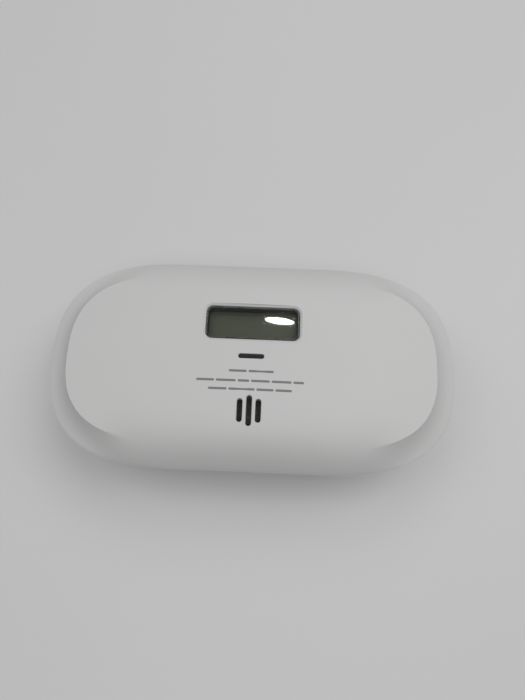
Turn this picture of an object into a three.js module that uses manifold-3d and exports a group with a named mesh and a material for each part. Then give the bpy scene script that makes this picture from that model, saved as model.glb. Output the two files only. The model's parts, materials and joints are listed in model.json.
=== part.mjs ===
// A battery-powered carbon monoxide alarm: a shallow, wide housing that clips on to a wall bracket.
// Millimetres. The alarm lies on its back: +Z is out of its face, +Y is towards its top edge and +X is to
// its right.
// The origin is under the middle of the face, in the plane of the wall bracket's back.
import * as THREE from "three";
import { mergeVertices } from "three/addons/utils/BufferGeometryUtils.js";
import Module from "manifold-3d";

const wasm = await Module();
wasm.setup();

// ---------------------------------------------------------------- driving dimensions

// Outline and face
const LENGTH = 136; // overall, along X
const HEIGHT = 71; // overall, along Y
const END_REACH = 45; // how far each rounded end reaches along X
const END_SHAPE = 2.64; // superellipse power of the ends: 2 is an ellipse, more is squarer
const RIM_DROP = 11.5; // from the middle of the face down to the widest line
const FACE_BOW = 5.2; // how far the face falls from its middle to its ends
const FACE_SIDE_FALL = 1.6; // how far its ends fall from the middle line to the long edges
const ROLL_POWER = 4.8; // how late the face rolls over towards the long edges
const CREASE_INSET = 7.6; // width of the coved band around each end
const COVE_FOOT_SLOPE = 0.4; // slope of the cove where it leaves the rim
const COVE_HEAD_SLOPE = 1.7; // slope of the cove where it meets the face
const CREASE_FADE_START = 36; // the crease begins to show this far from the middle
const CREASE_FADE_END = 54; // and is sharp from here to the ends
const RIM_LAND = 0.9; // upright band at the widest line

// Shells
const SHELL_WALL = 2.2;
const SKIRT_DROP = 3; // from the widest line down to the cover's lower edge
const SKIRT_INSET = 1.4;
const BACK_INSET = 6.5; // how far the back is drawn in from the widest line
const BACK_ROUND = 2;
const TONGUE_WALL = 1.5; // lip of the rear housing inside the cover's skirt
const TONGUE_RISE = 1.6;
const TONGUE_ROOT = 3; // how far the wall is thickened below the lip

// Fits
const GAP = 0.3; // between pieces that touch
const RUNNING_GAP = 0.35; // around a piece that moves

// Openings in the face
const WINDOW_WIDTH = 30.5;
const WINDOW_HEIGHT = 11.2;
const WINDOW_Y = 11.25;
const WINDOW_CORNER = 2.3;
const WINDOW_BEVEL = 0.6;
const LIGHT_SLOT_LENGTH = 8.2;
const LIGHT_SLOT_WIDTH = 1.5;
const LIGHT_SLOT_Y = 0;
const SOUND_SLOT_WIDTH = 1.75;
const SOUND_SLOT_PITCH = 2.9;
const SOUND_SLOT_LENGTHS = [7.2, 9.4, 7.2];
const SOUND_SLOT_Y = -17.2;

// Wall bracket
const BRACKET_THICKNESS = 2.7;
const BRACKET_HEIGHT = 42;
const BRACKET_CORNER = 6;
const BRACKET_TRAVEL = 6;
const BRACKET_SIDE_CLEARANCE = 1.7; // between the bracket and the battery door
const HOOK_X = 18;
const HOOK_YS = [11, -9];
const HOOK_WIDTH = 6;
const HOOK_STEM = 1.8;
const HOOK_LENGTH = 2.6;
const HOOK_TOE_THICKNESS = 1.5;
const WALL_SLOT_X = 9;
const WALL_SLOT_WIDTH = 3.9;
const WALL_SLOT_LENGTH = 9;

// Battery, its bay and its door
const BATTERY_DIAMETER = 17;
const BATTERY_LENGTH = 34.5;
const BATTERY_NUB_RADIUS = 3;
const BATTERY_NUB = 1.5;
const BAY_FROM_END = 17; // end of the housing to the outside of the battery bay
const BAY_HEADROOM = 8.4; // bay's roof to the inside of the face, at the middle of the alarm
const BAY_PLAY = 0.6;
const BAY_WALL = 2.4;
const BAY_ROOF = 1.2;
const SPRING_LENGTH = 4.5;
const SPRING_WIRE = 0.35;
const SPRING_WIDE = 6;
const SPRING_NARROW = 3;
const SPRING_TURNS = 3;
const CONTACT_THICKNESS = 0.5;
const CONTACT_WIDTH = 13;
const TAB_WIDTH = 4;
const TAB_RISE = 1.3; // solder tab above the bay's roof
const LEAD_RADIUS = 0.55;
const LEAD_FEET_Y = [-1.2, -4.2]; // where the red and the black lead meet the board
const DOOR_THICKNESS = 2;
const DOOR_SIDE_LAP = 1.2; // how far the door laps over each side of the bay
const DOOR_END_LAP = 0.55;
const DOOR_CORNER = 1;
const HINGE_PIN_RADIUS = 0.6;
const HINGE_PIN_LENGTH = 1.1;
const LATCH_SIZE = [7, 0.8, 1.4];
const FINGER_GROOVE = [12, 3, 0.8];

// Circuit board and what stands on it
const BOARD_THICKNESS = 1.6;
const BOARD_Z = 12.9; // its underside
const BOARD_EDGE_CLEARANCE = 9.5; // from the widest line to the board's long edges
const BOARD_CORNER = 5;
const BOARD_SCREW_INSET = 3.5; // from both edges
const LENS_RECESS = 0.4; // lens below the middle of the face
const LENS_THICKNESS = 1.1;
const BEZEL_BORDER = 0.5; // how far the bezel reaches in over the display
const BEZEL_DEPTH = 3.1;
const BEZEL_FLANGE = 1.4;
const BEZEL_FLANGE_THICKNESS = 1.2;
const GLASS_THICKNESS = 2;
const GLASS_MARGIN = 1.6; // display glass beyond the window
const BACKLIGHT_THICKNESS = 1.5;
const HOLDER_WALL = 1.2;
const HOLDER_SHELF = 1.2;
const STRIP_WIDTH = 1.8;
const STRIP_LENGTH = 28;
const SOUNDER_RADIUS = 9;
const SOUNDER_HEIGHT = 14;
const SOUNDER_WALL = 1.2;
const SOUNDER_CAP_THICKNESS = 1.4;
const SOUNDER_MOUTH = 4.5;
const DISC_THICKNESS = 0.4;
const DISC_SEAT = 1; // width of the step that carries the disc
const DISC_DEPTH = 4; // disc below the cap
const GASKET_INNER = 6.3;
const GASKET_OUTER = 8;
const MESH_THICKNESS = 0.5;
const GUIDE_BASE = [9.4, 2.4];
const GUIDE_BASE_TOP = 3.2; // below the middle of the face
const LED_PITCH = 2.6;
const LED_RADIUS = 1;
const LED_HEIGHT = 5;
const SENSOR_RADIUS = 7.2;
const SENSOR_HEIGHT = 8.6;
const SENSOR_XY = [30, -13];
const SENSOR_CAP_THICKNESS = 1.6;
const SENSOR_HOLE_RADIUS = 0.8;
const SENSOR_HOLE_RING = 3.6;
const SENSOR_HOLES = 6;
const CHIP_SIZE = [7, 7, 1.4];
const CHIP_XY = [15.5, -7];
const CAPACITOR_XY = [15.5, -16.5];
const CAPACITOR_RADIUS = 3.1;
const CAPACITOR_HEIGHT = 9;
const INDUCTOR_XY = [-13.5, -7];
const INDUCTOR_RADIUS = 3.6;
const INDUCTOR_HEIGHT = 6;
const RADIO_SIZE = [17, 19, 0.9];
const RADIO_XY = [33, 10.5];
const SHIELD_SIZE = [13, 12, 2.2];
const ANTENNA_XY = [17, -23.4];
const ANTENNA_RADIUS = 1.7;
const ANTENNA_WIRE = 0.35;
const ANTENNA_LENGTH = 17;
const ANTENNA_TURNS = 5;

// Test button and its switch
const BUTTON_LENGTH = 25;
const BUTTON_WIDTH = 5.4;
const BUTTON_PROUD = 0.5;
const BUTTON_FLANGE = 0.8; // how far its flange laps behind the wall
const BUTTON_FLANGE_DEPTH = 1.6;
const SWITCH_SIZE = [6.2, 3.8, 3.6];
const SWITCH_FREE_TRAVEL = 0.5; // before the button meets the plunger
const PLUNGER_RADIUS = 1.1;
const PLUNGER_REACH = 1.3;
const PLUNGER_DEPTH = 1;

// Screws
const SCREW_SHANK = 1.2;
const SCREW_HEAD = 2.3;
const SCREW_HEAD_HEIGHT = 1.7;
const SCREW_CROWN = 0.7; // flat top of a head, as a share of its radius
const SCREW_CROSS = [1.1, 0.24, 0.6]; // length and width by the head's radius, depth by its height
const CASE_SCREW_LENGTH = 14;
const BOARD_SCREW_LENGTH = 6;
const CASE_SCREW_SEAT = 5.5; // depth of the recess that takes a case screw's head
const BOSS_RADIUS = 3.6;
const BOSS_ROOF = 1.4;
const POST_RADIUS = 2.6;
const LEFT_SCREWS_FROM_EDGE = 12.5;
const RIGHT_SCREWS_Y = 12.5;
const RIGHT_SCREWS_FROM_END = 16.5;

// Rating label and vents
const LABEL_SIZE = [15.4, 31.4, 0.25];
const LABEL_RECESS = 0.6;
const VENT_COUNT = 9;
const VENT_PITCH = 4;
const VENT_WIDTH = 1.7;
const VENT_HEIGHT = 6;
const VENT_Z = 12;

// How finely round shapes are cut
const END_STEPS = 9; // on a quarter of the outline's end
const STRAIGHT_STEPS = 4;
const ROUND_STEPS = 20;
const COIL_STEPS = 10; // on each turn of a coil
const WIRE_SIDES = 6;
const LEAD_STEPS = 22;
const OVERCUT = 1; // how far a cut runs past what it cuts
const PILL_FLAT = 0.01; // what is left of the straight end of a pill-shaped outline

// ---------------------------------------------------------------- levels and places that follow

const HALF_LENGTH = LENGTH / 2;
const HALF_HEIGHT = HEIGHT / 2;
const STRAIGHT = HALF_LENGTH - END_REACH;
const BOARD_HALF_HEIGHT = HALF_HEIGHT - BOARD_EDGE_CLEARANCE;
const BACK_Z = BRACKET_THICKNESS + GAP;
const FLOOR_Z = BACK_Z + SHELL_WALL;
const BOARD_TOP = BOARD_Z + BOARD_THICKNESS;
const ON_BOARD = BOARD_TOP + GAP;

const BATTERY_RADIUS = BATTERY_DIAMETER / 2;
const BAY_HALF_WIDTH = BATTERY_RADIUS + BAY_PLAY;
const BAY_X = BAY_FROM_END + BAY_WALL + BAY_HALF_WIDTH - HALF_LENGTH;
const BAY_HALF_LENGTH = (BATTERY_LENGTH + SPRING_LENGTH) / 2 + CONTACT_THICKNESS + 2.5 * GAP;
const BATTERY_Z = BACK_Z + DOOR_THICKNESS + BAY_PLAY + BATTERY_RADIUS;
const BAY_TOP = BATTERY_Z + BATTERY_RADIUS + BAY_PLAY;
const DEPTH = BAY_TOP + BAY_ROOF + BAY_HEADROOM + SHELL_WALL; // overall, along Z
const RIM_Z = DEPTH - RIM_DROP;
const SKIRT_Z = RIM_Z - SKIRT_DROP;
const REAR_TOP = SKIRT_Z - GAP;
const DOOR_HALF_WIDTH = BAY_HALF_WIDTH + DOOR_SIDE_LAP;
const DOOR_HALF_LENGTH = BAY_HALF_LENGTH + DOOR_END_LAP;
const HINGE_RADIUS = DOOR_THICKNESS / 2;
const HINGE_Y = DOOR_HALF_LENGTH - HINGE_RADIUS;
const HINGE_Z = BACK_Z + HINGE_RADIUS;
const BRACKET_HALF_WIDTH = -(BAY_X + DOOR_HALF_WIDTH) - BRACKET_SIDE_CLEARANCE;

const LEFT_SCREWS_X = BAY_X + BAY_HALF_WIDTH + BAY_WALL + SCREW_HEAD + 2 * GAP;
const LEFT_SCREWS_Y = HALF_HEIGHT - LEFT_SCREWS_FROM_EDGE;
const RIGHT_SCREWS_X = HALF_LENGTH - RIGHT_SCREWS_FROM_END;
const CASE_SCREWS = [
  [LEFT_SCREWS_X, LEFT_SCREWS_Y],
  [LEFT_SCREWS_X, -LEFT_SCREWS_Y],
  [RIGHT_SCREWS_X, RIGHT_SCREWS_Y],
  [RIGHT_SCREWS_X, -RIGHT_SCREWS_Y],
];
const CASE_SCREW_HEAD_Z = BACK_Z + CASE_SCREW_SEAT - SCREW_HEAD_HEIGHT - GAP;
const BOSS_TOP = BACK_Z + CASE_SCREW_SEAT + BOSS_ROOF;
const BOARD_LEFT = LEFT_SCREWS_X + POST_RADIUS + 2 * GAP;
const BOARD_RIGHT = RIGHT_SCREWS_X - POST_RADIUS - 4 * GAP;
const BOARD_SCREWS = [BOARD_LEFT + BOARD_SCREW_INSET, BOARD_RIGHT - BOARD_SCREW_INSET].flatMap((x) =>
  [BOARD_HALF_HEIGHT - BOARD_SCREW_INSET, BOARD_SCREW_INSET - BOARD_HALF_HEIGHT].map((y) => [x, y]),
);

const LENS_TOP = DEPTH - LENS_RECESS;
const LENS_BOTTOM = LENS_TOP - LENS_THICKNESS;
const BEZEL_BOTTOM = LENS_BOTTOM - GAP - BEZEL_DEPTH;
const GLASS_TOP = BEZEL_BOTTOM - GAP;
const GLASS_BOTTOM = GLASS_TOP - GLASS_THICKNESS;
const BACKLIGHT_TOP = GLASS_BOTTOM - GAP;
const SHELF_TOP = BACKLIGHT_TOP - BACKLIGHT_THICKNESS - GAP;
const GLASS_WIDTH = WINDOW_WIDTH + 2 * GLASS_MARGIN;
const GLASS_HEIGHT = WINDOW_HEIGHT + 2 * GLASS_MARGIN;
const BACKLIGHT_HEIGHT = GLASS_HEIGHT - 2 * (STRIP_WIDTH + 2 * GAP);
const SOUNDER_TOP = ON_BOARD + SOUNDER_HEIGHT;
const SOUNDER_CAP_Z = SOUNDER_TOP - SOUNDER_CAP_THICKNESS;
const DISC_Z = SOUNDER_CAP_Z - DISC_DEPTH;
const MESH_RADIUS = GASKET_INNER - GAP;
const LED_TOP = ON_BOARD + LED_HEIGHT;
const LABEL_X = (BRACKET_HALF_WIDTH + RIGHT_SCREWS_X - SCREW_HEAD - GAP) / 2;
const SWITCH_FRONT = BOARD_HALF_HEIGHT;
const BUTTON_Z = ON_BOARD + SWITCH_SIZE[2] / 2;
const BUTTON_BACK = SWITCH_FRONT + PLUNGER_REACH + SWITCH_FREE_TRAVEL;

// ---------------------------------------------------------------- materials

const finish = (color, roughness, metalness = 0) =>
  new THREE.MeshStandardMaterial({ color, roughness, metalness });
const WHITE_PLASTIC = finish(0xdfe1e1, 0.55);
const BLACK_PLASTIC = finish(0x1b1c1d, 0.5);
const CLEAR_PLASTIC = finish(0xc8ccc8, 0.05);
const SMOKED_PLASTIC = finish(0x2c2a2c, 0.2);
const DISPLAY_GLASS = finish(0x4d5044, 0.25);
const DIFFUSER_PLASTIC = finish(0xd9dccb, 0.6);
const BOARD_LAMINATE = finish(0x1f5a35, 0.45);
const CHIP_RESIN = finish(0x202224, 0.6);
const BRIGHT_METAL = finish(0xc4c7ca, 0.28, 1);
const BRASS = finish(0xc4a25a, 0.32, 1);
const FOAM = finish(0x2b2c2d, 0.95);
const RUBBER = finish(0x3a3a3c, 0.85);
const BATTERY_SLEEVE = finish(0x39424c, 0.35);
const LABEL_PAPER = finish(0xd6d8d8, 0.5);
const LED_GREEN = finish(0x9fd8a4, 0.3);
const LED_RED = finish(0xd88a84, 0.3);
const LED_YELLOW = finish(0xdccb83, 0.3);
const RED_WIRE = finish(0xa8261f, 0.5);
const BLACK_WIRE = finish(0x1c1c1e, 0.5);
const SENSOR_PLASTIC = finish(0xe8e6df, 0.5);

// ---------------------------------------------------------------- solids

/** A closed geometry as a manifold solid. */
function solid(geometry) {
  const bare = geometry.clone();
  bare.deleteAttribute("normal");
  bare.deleteAttribute("uv");
  const merged = mergeVertices(bare, 1e-4);
  return new wasm.Manifold(
    new wasm.Mesh({
      numProp: 3,
      vertProperties: new Float32Array(merged.attributes.position.array),
      triVerts: new Uint32Array(merged.index.array),
    }),
  );
}

/** A manifold solid as a named mesh. */
function piece(name, made, material, position = [0, 0, 0], turn = [0, 0, 0]) {
  const { vertProperties, triVerts } = made.getMesh();
  const geometry = new THREE.BufferGeometry();
  geometry.setAttribute("position", new THREE.BufferAttribute(new Float32Array(vertProperties), 3));
  geometry.setIndex(new THREE.BufferAttribute(new Uint32Array(triVerts), 1));
  geometry.computeVertexNormals();
  const mesh = new THREE.Mesh(geometry, material);
  mesh.name = name;
  mesh.position.set(...position);
  mesh.rotation.set(...turn);
  return mesh;
}

const joined = (solids) => solids.reduce((a, b) => a.add(b));
const without = (body, cuts) => cuts.reduce((a, b) => a.subtract(b), body);
const mix = (a, b, t) => a + (b - a) * t;

/** A box of a size, centred on x and y, between two heights. */
function block(width, height, z0, z1, x = 0, y = 0) {
  const geometry = new THREE.BoxGeometry(width, height, z1 - z0);
  return solid(geometry.translate(x, y, (z0 + z1) / 2));
}

/** A cylinder between two heights. */
function drum(radius, z0, z1, x = 0, y = 0, steps = ROUND_STEPS) {
  const geometry = new THREE.CylinderGeometry(radius, radius, z1 - z0, steps);
  return solid(geometry.rotateX(Math.PI / 2).translate(x, y, (z0 + z1) / 2));
}

/** A cylinder along X, centred on x. */
function rodAlongX(radius, length, x, y, z) {
  const geometry = new THREE.CylinderGeometry(radius, radius, length, ROUND_STEPS / 2);
  return solid(geometry.rotateZ(Math.PI / 2).translate(x, y, z));
}

/** A cylinder along Y, between two values of y. */
function rodAlongY(radius, y0, y1, x, z) {
  const geometry = new THREE.CylinderGeometry(radius, radius, y1 - y0, ROUND_STEPS / 2);
  return solid(geometry.translate(x, (y0 + y1) / 2, z));
}

/** A flat outline with round corners, centred on the origin. */
function roundedShape(width, height, corner) {
  const [w, h] = [width / 2 - corner, height / 2 - corner];
  const shape = new THREE.Shape();
  shape.absarc(w, h, corner, 0, Math.PI / 2);
  shape.absarc(-w, h, corner, Math.PI / 2, Math.PI);
  shape.absarc(-w, -h, corner, Math.PI, 1.5 * Math.PI);
  shape.absarc(w, -h, corner, 1.5 * Math.PI, 2 * Math.PI);
  shape.closePath();
  return shape;
}

/** A plate with round corners between two heights, centred on x and y. */
function plate(width, height, corner, z0, z1, x = 0, y = 0) {
  const settings = { depth: z1 - z0, bevelEnabled: false, curveSegments: 4 };
  const geometry = new THREE.ExtrudeGeometry(roundedShape(width, height, corner), settings);
  return solid(geometry.translate(x, y, z0));
}

/** A plate with round corners that lies along Y: the outline is in X and Z. */
function plateAlongY(width, height, corner, y0, y1, x, z) {
  const settings = { depth: y1 - y0, bevelEnabled: false, curveSegments: 5 };
  const geometry = new THREE.ExtrudeGeometry(roundedShape(width, height, corner), settings);
  return solid(geometry.rotateX(Math.PI / 2).translate(x, y1, z));
}

/** A pill-shaped slot cut down through the face. */
const slot = (width, height, x, y) =>
  plate(width, height, Math.min(width, height) / 2 - PILL_FLAT, RIM_Z, DEPTH + OVERCUT, x, y);

/** A body turned about +Z from [radius, z] points that start and end on the axis. */
function turned(points, steps = ROUND_STEPS) {
  const profile = points.map(([r, z]) => new THREE.Vector2(r, z));
  return solid(new THREE.LatheGeometry(profile, steps).rotateX(Math.PI / 2));
}

/** A closed body through rings of points, bottom to top; its top closes on a point at the peak's height. */
function loft(rings, peak = rings[rings.length - 1][0][2]) {
  const size = rings[0].length;
  const positions = rings.flat(2);
  const index = [];
  for (let r = 0; r + 1 < rings.length; r++) {
    for (let k = 0; k < size; k++) {
      const [a, b] = [r * size + k, r * size + ((k + 1) % size)];
      index.push(a, b, a + size, b, b + size, a + size);
    }
  }
  const ends = [
    [rings[0][0][2], 0, true],
    [peak, (rings.length - 1) * size, false],
  ];
  for (const [height, start, facesDown] of ends) {
    const middle = positions.length / 3;
    positions.push(0, 0, height);
    for (let k = 0; k < size; k++) {
      const [a, b] = [start + k, start + ((k + 1) % size)];
      index.push(...(facesDown ? [middle, b, a] : [middle, a, b]));
    }
  }
  const geometry = new THREE.BufferGeometry();
  geometry.setAttribute("position", new THREE.Float32BufferAttribute(positions, 3));
  geometry.setIndex(index);
  return solid(geometry);
}

/** A tube along a curve, closed at both ends. */
function tube(curve, radius, steps, sides = 8) {
  const corners = Array.from({ length: sides }, (_, k) => {
    const angle = (2 * Math.PI * k) / sides;
    return new THREE.Vector2(radius * Math.cos(angle), radius * Math.sin(angle));
  });
  const settings = { steps, bevelEnabled: false, extrudePath: curve };
  return solid(new THREE.ExtrudeGeometry(new THREE.Shape(corners), settings));
}

/** A coil about +Y whose radius runs from one value to another. */
class Coil extends THREE.Curve {
  constructor(startRadius, endRadius, length, turns) {
    super();
    Object.assign(this, { startRadius, endRadius, length, turns });
  }

  getPoint(t, target = new THREE.Vector3()) {
    const radius = mix(this.startRadius, this.endRadius, t);
    const angle = 2 * Math.PI * this.turns * t;
    return target.set(radius * Math.cos(angle), this.length * t, radius * Math.sin(angle));
  }
}

/** A pan-head screw with a cross recess: its head's top is at z = 0 and its shank runs along -Z. */
function screw(length) {
  const tip = -SCREW_HEAD_HEIGHT - length;
  const body = turned(
    [
      [0, tip],
      [SCREW_SHANK / 2, tip],
      [SCREW_SHANK, tip + SCREW_SHANK],
      [SCREW_SHANK, -SCREW_HEAD_HEIGHT],
      [SCREW_HEAD, -SCREW_HEAD_HEIGHT],
      [SCREW_HEAD, -SCREW_HEAD_HEIGHT / 2],
      [SCREW_HEAD * SCREW_CROWN, 0],
      [0, 0],
    ],
    ROUND_STEPS / 2,
  );
  const [arm, groove] = [SCREW_HEAD * SCREW_CROSS[0], SCREW_HEAD * SCREW_CROSS[1]];
  const depth = SCREW_HEAD_HEIGHT * SCREW_CROSS[2];
  return without(body, [block(arm, groove, -depth, OVERCUT), block(groove, arm, -depth, OVERCUT)]);
}

// ---------------------------------------------------------------- the housing's own surface

/** Where each point of the outline sits: a centre along X, and a direction on the end's superellipse. */
const STATIONS = [1, -1].flatMap((side) => {
  const round = Array.from({ length: 2 * END_STEPS + 1 }, (_, k) => {
    const angle = (Math.PI / 2) * (k / END_STEPS - 1);
    const across = Math.abs(Math.cos(angle)) ** (2 / END_SHAPE);
    const along = Math.sign(Math.sin(angle)) * Math.abs(Math.sin(angle)) ** (2 / END_SHAPE);
    return [side * STRAIGHT, side * across, side * along];
  });
  const straight = Array.from({ length: STRAIGHT_STEPS - 1 }, (_, k) => {
    return [side * STRAIGHT * (1 - (2 * (k + 1)) / STRAIGHT_STEPS), 0, side];
  });
  return [...round, ...straight];
});

const outlinePoint = ([centre, across, along], inset) => [
  centre + across * (END_REACH - inset),
  along * (HALF_HEIGHT - inset),
];
const ring = (inset, z) => STATIONS.map((station) => [...outlinePoint(station, inset), z]);

/** How far from the middle line the widest outline is, at a place along X. */
function rimHalfHeight(x) {
  const reach = Math.min(Math.max((Math.abs(x) - STRAIGHT) / END_REACH, 0), 1);
  return HALF_HEIGHT * (1 - reach ** END_SHAPE) ** (1 / END_SHAPE);
}

/** 0 where the face rolls smoothly to the rim, 1 where it ends in the crease. */
function creaseShare(x) {
  const t = THREE.MathUtils.clamp(
    (Math.abs(x) - CREASE_FADE_START) / (CREASE_FADE_END - CREASE_FADE_START), 0, 1);
  return t * t * (3 - 2 * t);
}

const ridge = (x) => DEPTH - FACE_BOW * (x / (HALF_LENGTH - CREASE_INSET)) ** 2;
const domed = (x, y) => ridge(x) - FACE_SIDE_FALL * (y / HALF_HEIGHT) ** 2;

/** The face as it would be if it rolled over to the rim everywhere. */
function rolled(x, y) {
  const share = Math.min(Math.abs(y) / Math.max(rimHalfHeight(x), 1e-6), 1);
  return ridge(x) - (ridge(x) - RIM_Z) * share ** ROLL_POWER;
}

const faceHeight = (x, y) => mix(rolled(x, y), domed(x, y), creaseShare(x));

/** Height on the band between the rim (t = 0) and the crease (t = 1). */
function bandHeight(station, t) {
  const rim = outlinePoint(station, 0);
  const crease = outlinePoint(station, CREASE_INSET);
  const [x, y] = [mix(rim[0], crease[0], t), mix(rim[1], crease[1], t)];
  const rise = domed(...crease) - RIM_Z;
  const span = Math.hypot(rim[0] - crease[0], rim[1] - crease[1]);
  const cove =
    RIM_Z +
    rise * t * t * (3 - 2 * t) +
    span * COVE_FOOT_SLOPE * t * (1 - t) ** 2 -
    span * COVE_HEAD_SLOPE * t * t * (1 - t);
  return mix(rolled(x, y), cove, creaseShare(x));
}

const BAND_STEPS = [0, 0.3, 0.55, 0.8, 1];
const FACE_STEPS = [0.12, 0.3, 0.6];
const RIM_THINNING = 0.4; // share of a drop that the surface makes at the rim

/** The cover's outer body, or the same body drawn in and lowered by a distance. */
function coverBody(drop) {
  const bottom = drop > 0 ? SKIRT_Z - OVERCUT : SKIRT_Z;
  const rings = [ring(SKIRT_INSET + drop, bottom)];
  if (drop === 0) rings.push(ring(0, RIM_Z - RIM_LAND));
  for (const t of BAND_STEPS) {
    const lowered = drop * mix(RIM_THINNING, 1, t);
    rings.push(
      STATIONS.map((station) => [
        ...outlinePoint(station, drop + t * CREASE_INSET),
        bandHeight(station, t) - lowered,
      ]),
    );
  }
  for (const t of FACE_STEPS) {
    rings.push(
      STATIONS.map((station) => {
        const [x, y] = outlinePoint(station, CREASE_INSET).map((v) => v * (1 - t));
        const [sx, sy] = outlinePoint(station, drop + CREASE_INSET).map((v) => v * (1 - t));
        return [sx, sy, faceHeight(x, y) - drop];
      }),
    );
  }
  return loft(rings, DEPTH - drop);
}

/** How far the rear housing's side is drawn in at a height. */
const sideInset = (z) => mix(BACK_INSET, SKIRT_INSET, (z - BACK_Z) / (REAR_TOP - BACK_Z));

/** The rear housing's outer body, or that body grown by a distance all round its sides. */
function rearBody(grown) {
  const corner = BACK_ROUND * (1 - Math.SQRT1_2);
  return loft([
    ring(sideInset(BACK_Z) + BACK_ROUND - grown, BACK_Z),
    ring(sideInset(BACK_Z + corner) + corner - grown, BACK_Z + corner),
    ring(sideInset(BACK_Z + BACK_ROUND) - grown, BACK_Z + BACK_ROUND),
    ring(SKIRT_INSET - grown, REAR_TOP),
  ]);
}

const TONGUE_INSET = SKIRT_INSET + SHELL_WALL + GAP;

/** The space inside the rear housing, or that space drawn in by a distance. */
function rearCavity(drawnIn) {
  const wall = SHELL_WALL + drawnIn;
  const throat = TONGUE_INSET + TONGUE_WALL + drawnIn;
  const shoulder = REAR_TOP - TONGUE_ROOT;
  return loft([
    ring(sideInset(FLOOR_Z) + wall + BACK_ROUND / 2, FLOOR_Z),
    ring(sideInset(FLOOR_Z + BACK_ROUND) + wall, FLOOR_Z + BACK_ROUND),
    ring(sideInset(shoulder) + wall, shoulder),
    ring(throat, REAR_TOP - TONGUE_ROOT / 2),
    ring(throat, REAR_TOP + TONGUE_RISE + OVERCUT),
  ]);
}

// ---------------------------------------------------------------- casing

/** A post under the face that a case screw bites into. */
function coverPost([x, y]) {
  const base = SKIRT_Z + GAP;
  const upper = drum(POST_RADIUS, base, DEPTH, x, y, ROUND_STEPS / 2).intersect(coverBody(SHELL_WALL / 2));
  const lower = drum(POST_RADIUS, BOSS_TOP + GAP, base + OVERCUT, x, y, ROUND_STEPS / 2);
  return upper.add(lower);
}

function frontCover() {
  const shell = coverBody(0).subtract(coverBody(SHELL_WALL));
  const screwEnd = CASE_SCREW_HEAD_Z + SCREW_HEAD_HEIGHT + CASE_SCREW_LENGTH;
  const bores = CASE_SCREWS.map(([x, y]) =>
    drum(SCREW_SHANK + GAP, BOSS_TOP, screwEnd + GAP, x, y, ROUND_STEPS / 2));
  const lip = WINDOW_WIDTH + 2 * WINDOW_BEVEL;
  const lipHeight = WINDOW_HEIGHT + 2 * WINDOW_BEVEL;
  const soundSlots = SOUND_SLOT_LENGTHS.map((length, k) =>
    slot(SOUND_SLOT_WIDTH, length, (k - 1) * SOUND_SLOT_PITCH, SOUND_SLOT_Y));
  const made = without(joined([shell, ...CASE_SCREWS.map(coverPost)]), [
    ...bores,
    plate(WINDOW_WIDTH, WINDOW_HEIGHT, WINDOW_CORNER, RIM_Z, DEPTH + OVERCUT, 0, WINDOW_Y),
    plate(lip, lipHeight, WINDOW_CORNER, LENS_TOP, DEPTH + OVERCUT, 0, WINDOW_Y),
    slot(LIGHT_SLOT_LENGTH, LIGHT_SLOT_WIDTH, 0, LIGHT_SLOT_Y),
    ...soundSlots,
  ]);
  return piece("front_cover", made, WHITE_PLASTIC);
}

/** The keyhole in the back that one bracket hook slides in. */
function hookSlot(x, y) {
  const neckLength = BRACKET_TRAVEL + HOOK_LENGTH + 2 * RUNNING_GAP;
  const neckY = y - BRACKET_TRAVEL / 2;
  const [low, high] = [BACK_Z - OVERCUT, FLOOR_Z + OVERCUT];
  const neck = block(HOOK_STEM + 2 * RUNNING_GAP, neckLength, low, high, x, neckY);
  const entryWidth = HOOK_WIDTH + 2 * RUNNING_GAP;
  const entryLength = HOOK_LENGTH + 2 * RUNNING_GAP;
  return neck.add(block(entryWidth, entryLength, low, high, x, y - BRACKET_TRAVEL));
}

const HOOKS = [HOOK_X, -HOOK_X].flatMap((x) => HOOK_YS.map((y) => [x, y]));

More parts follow.
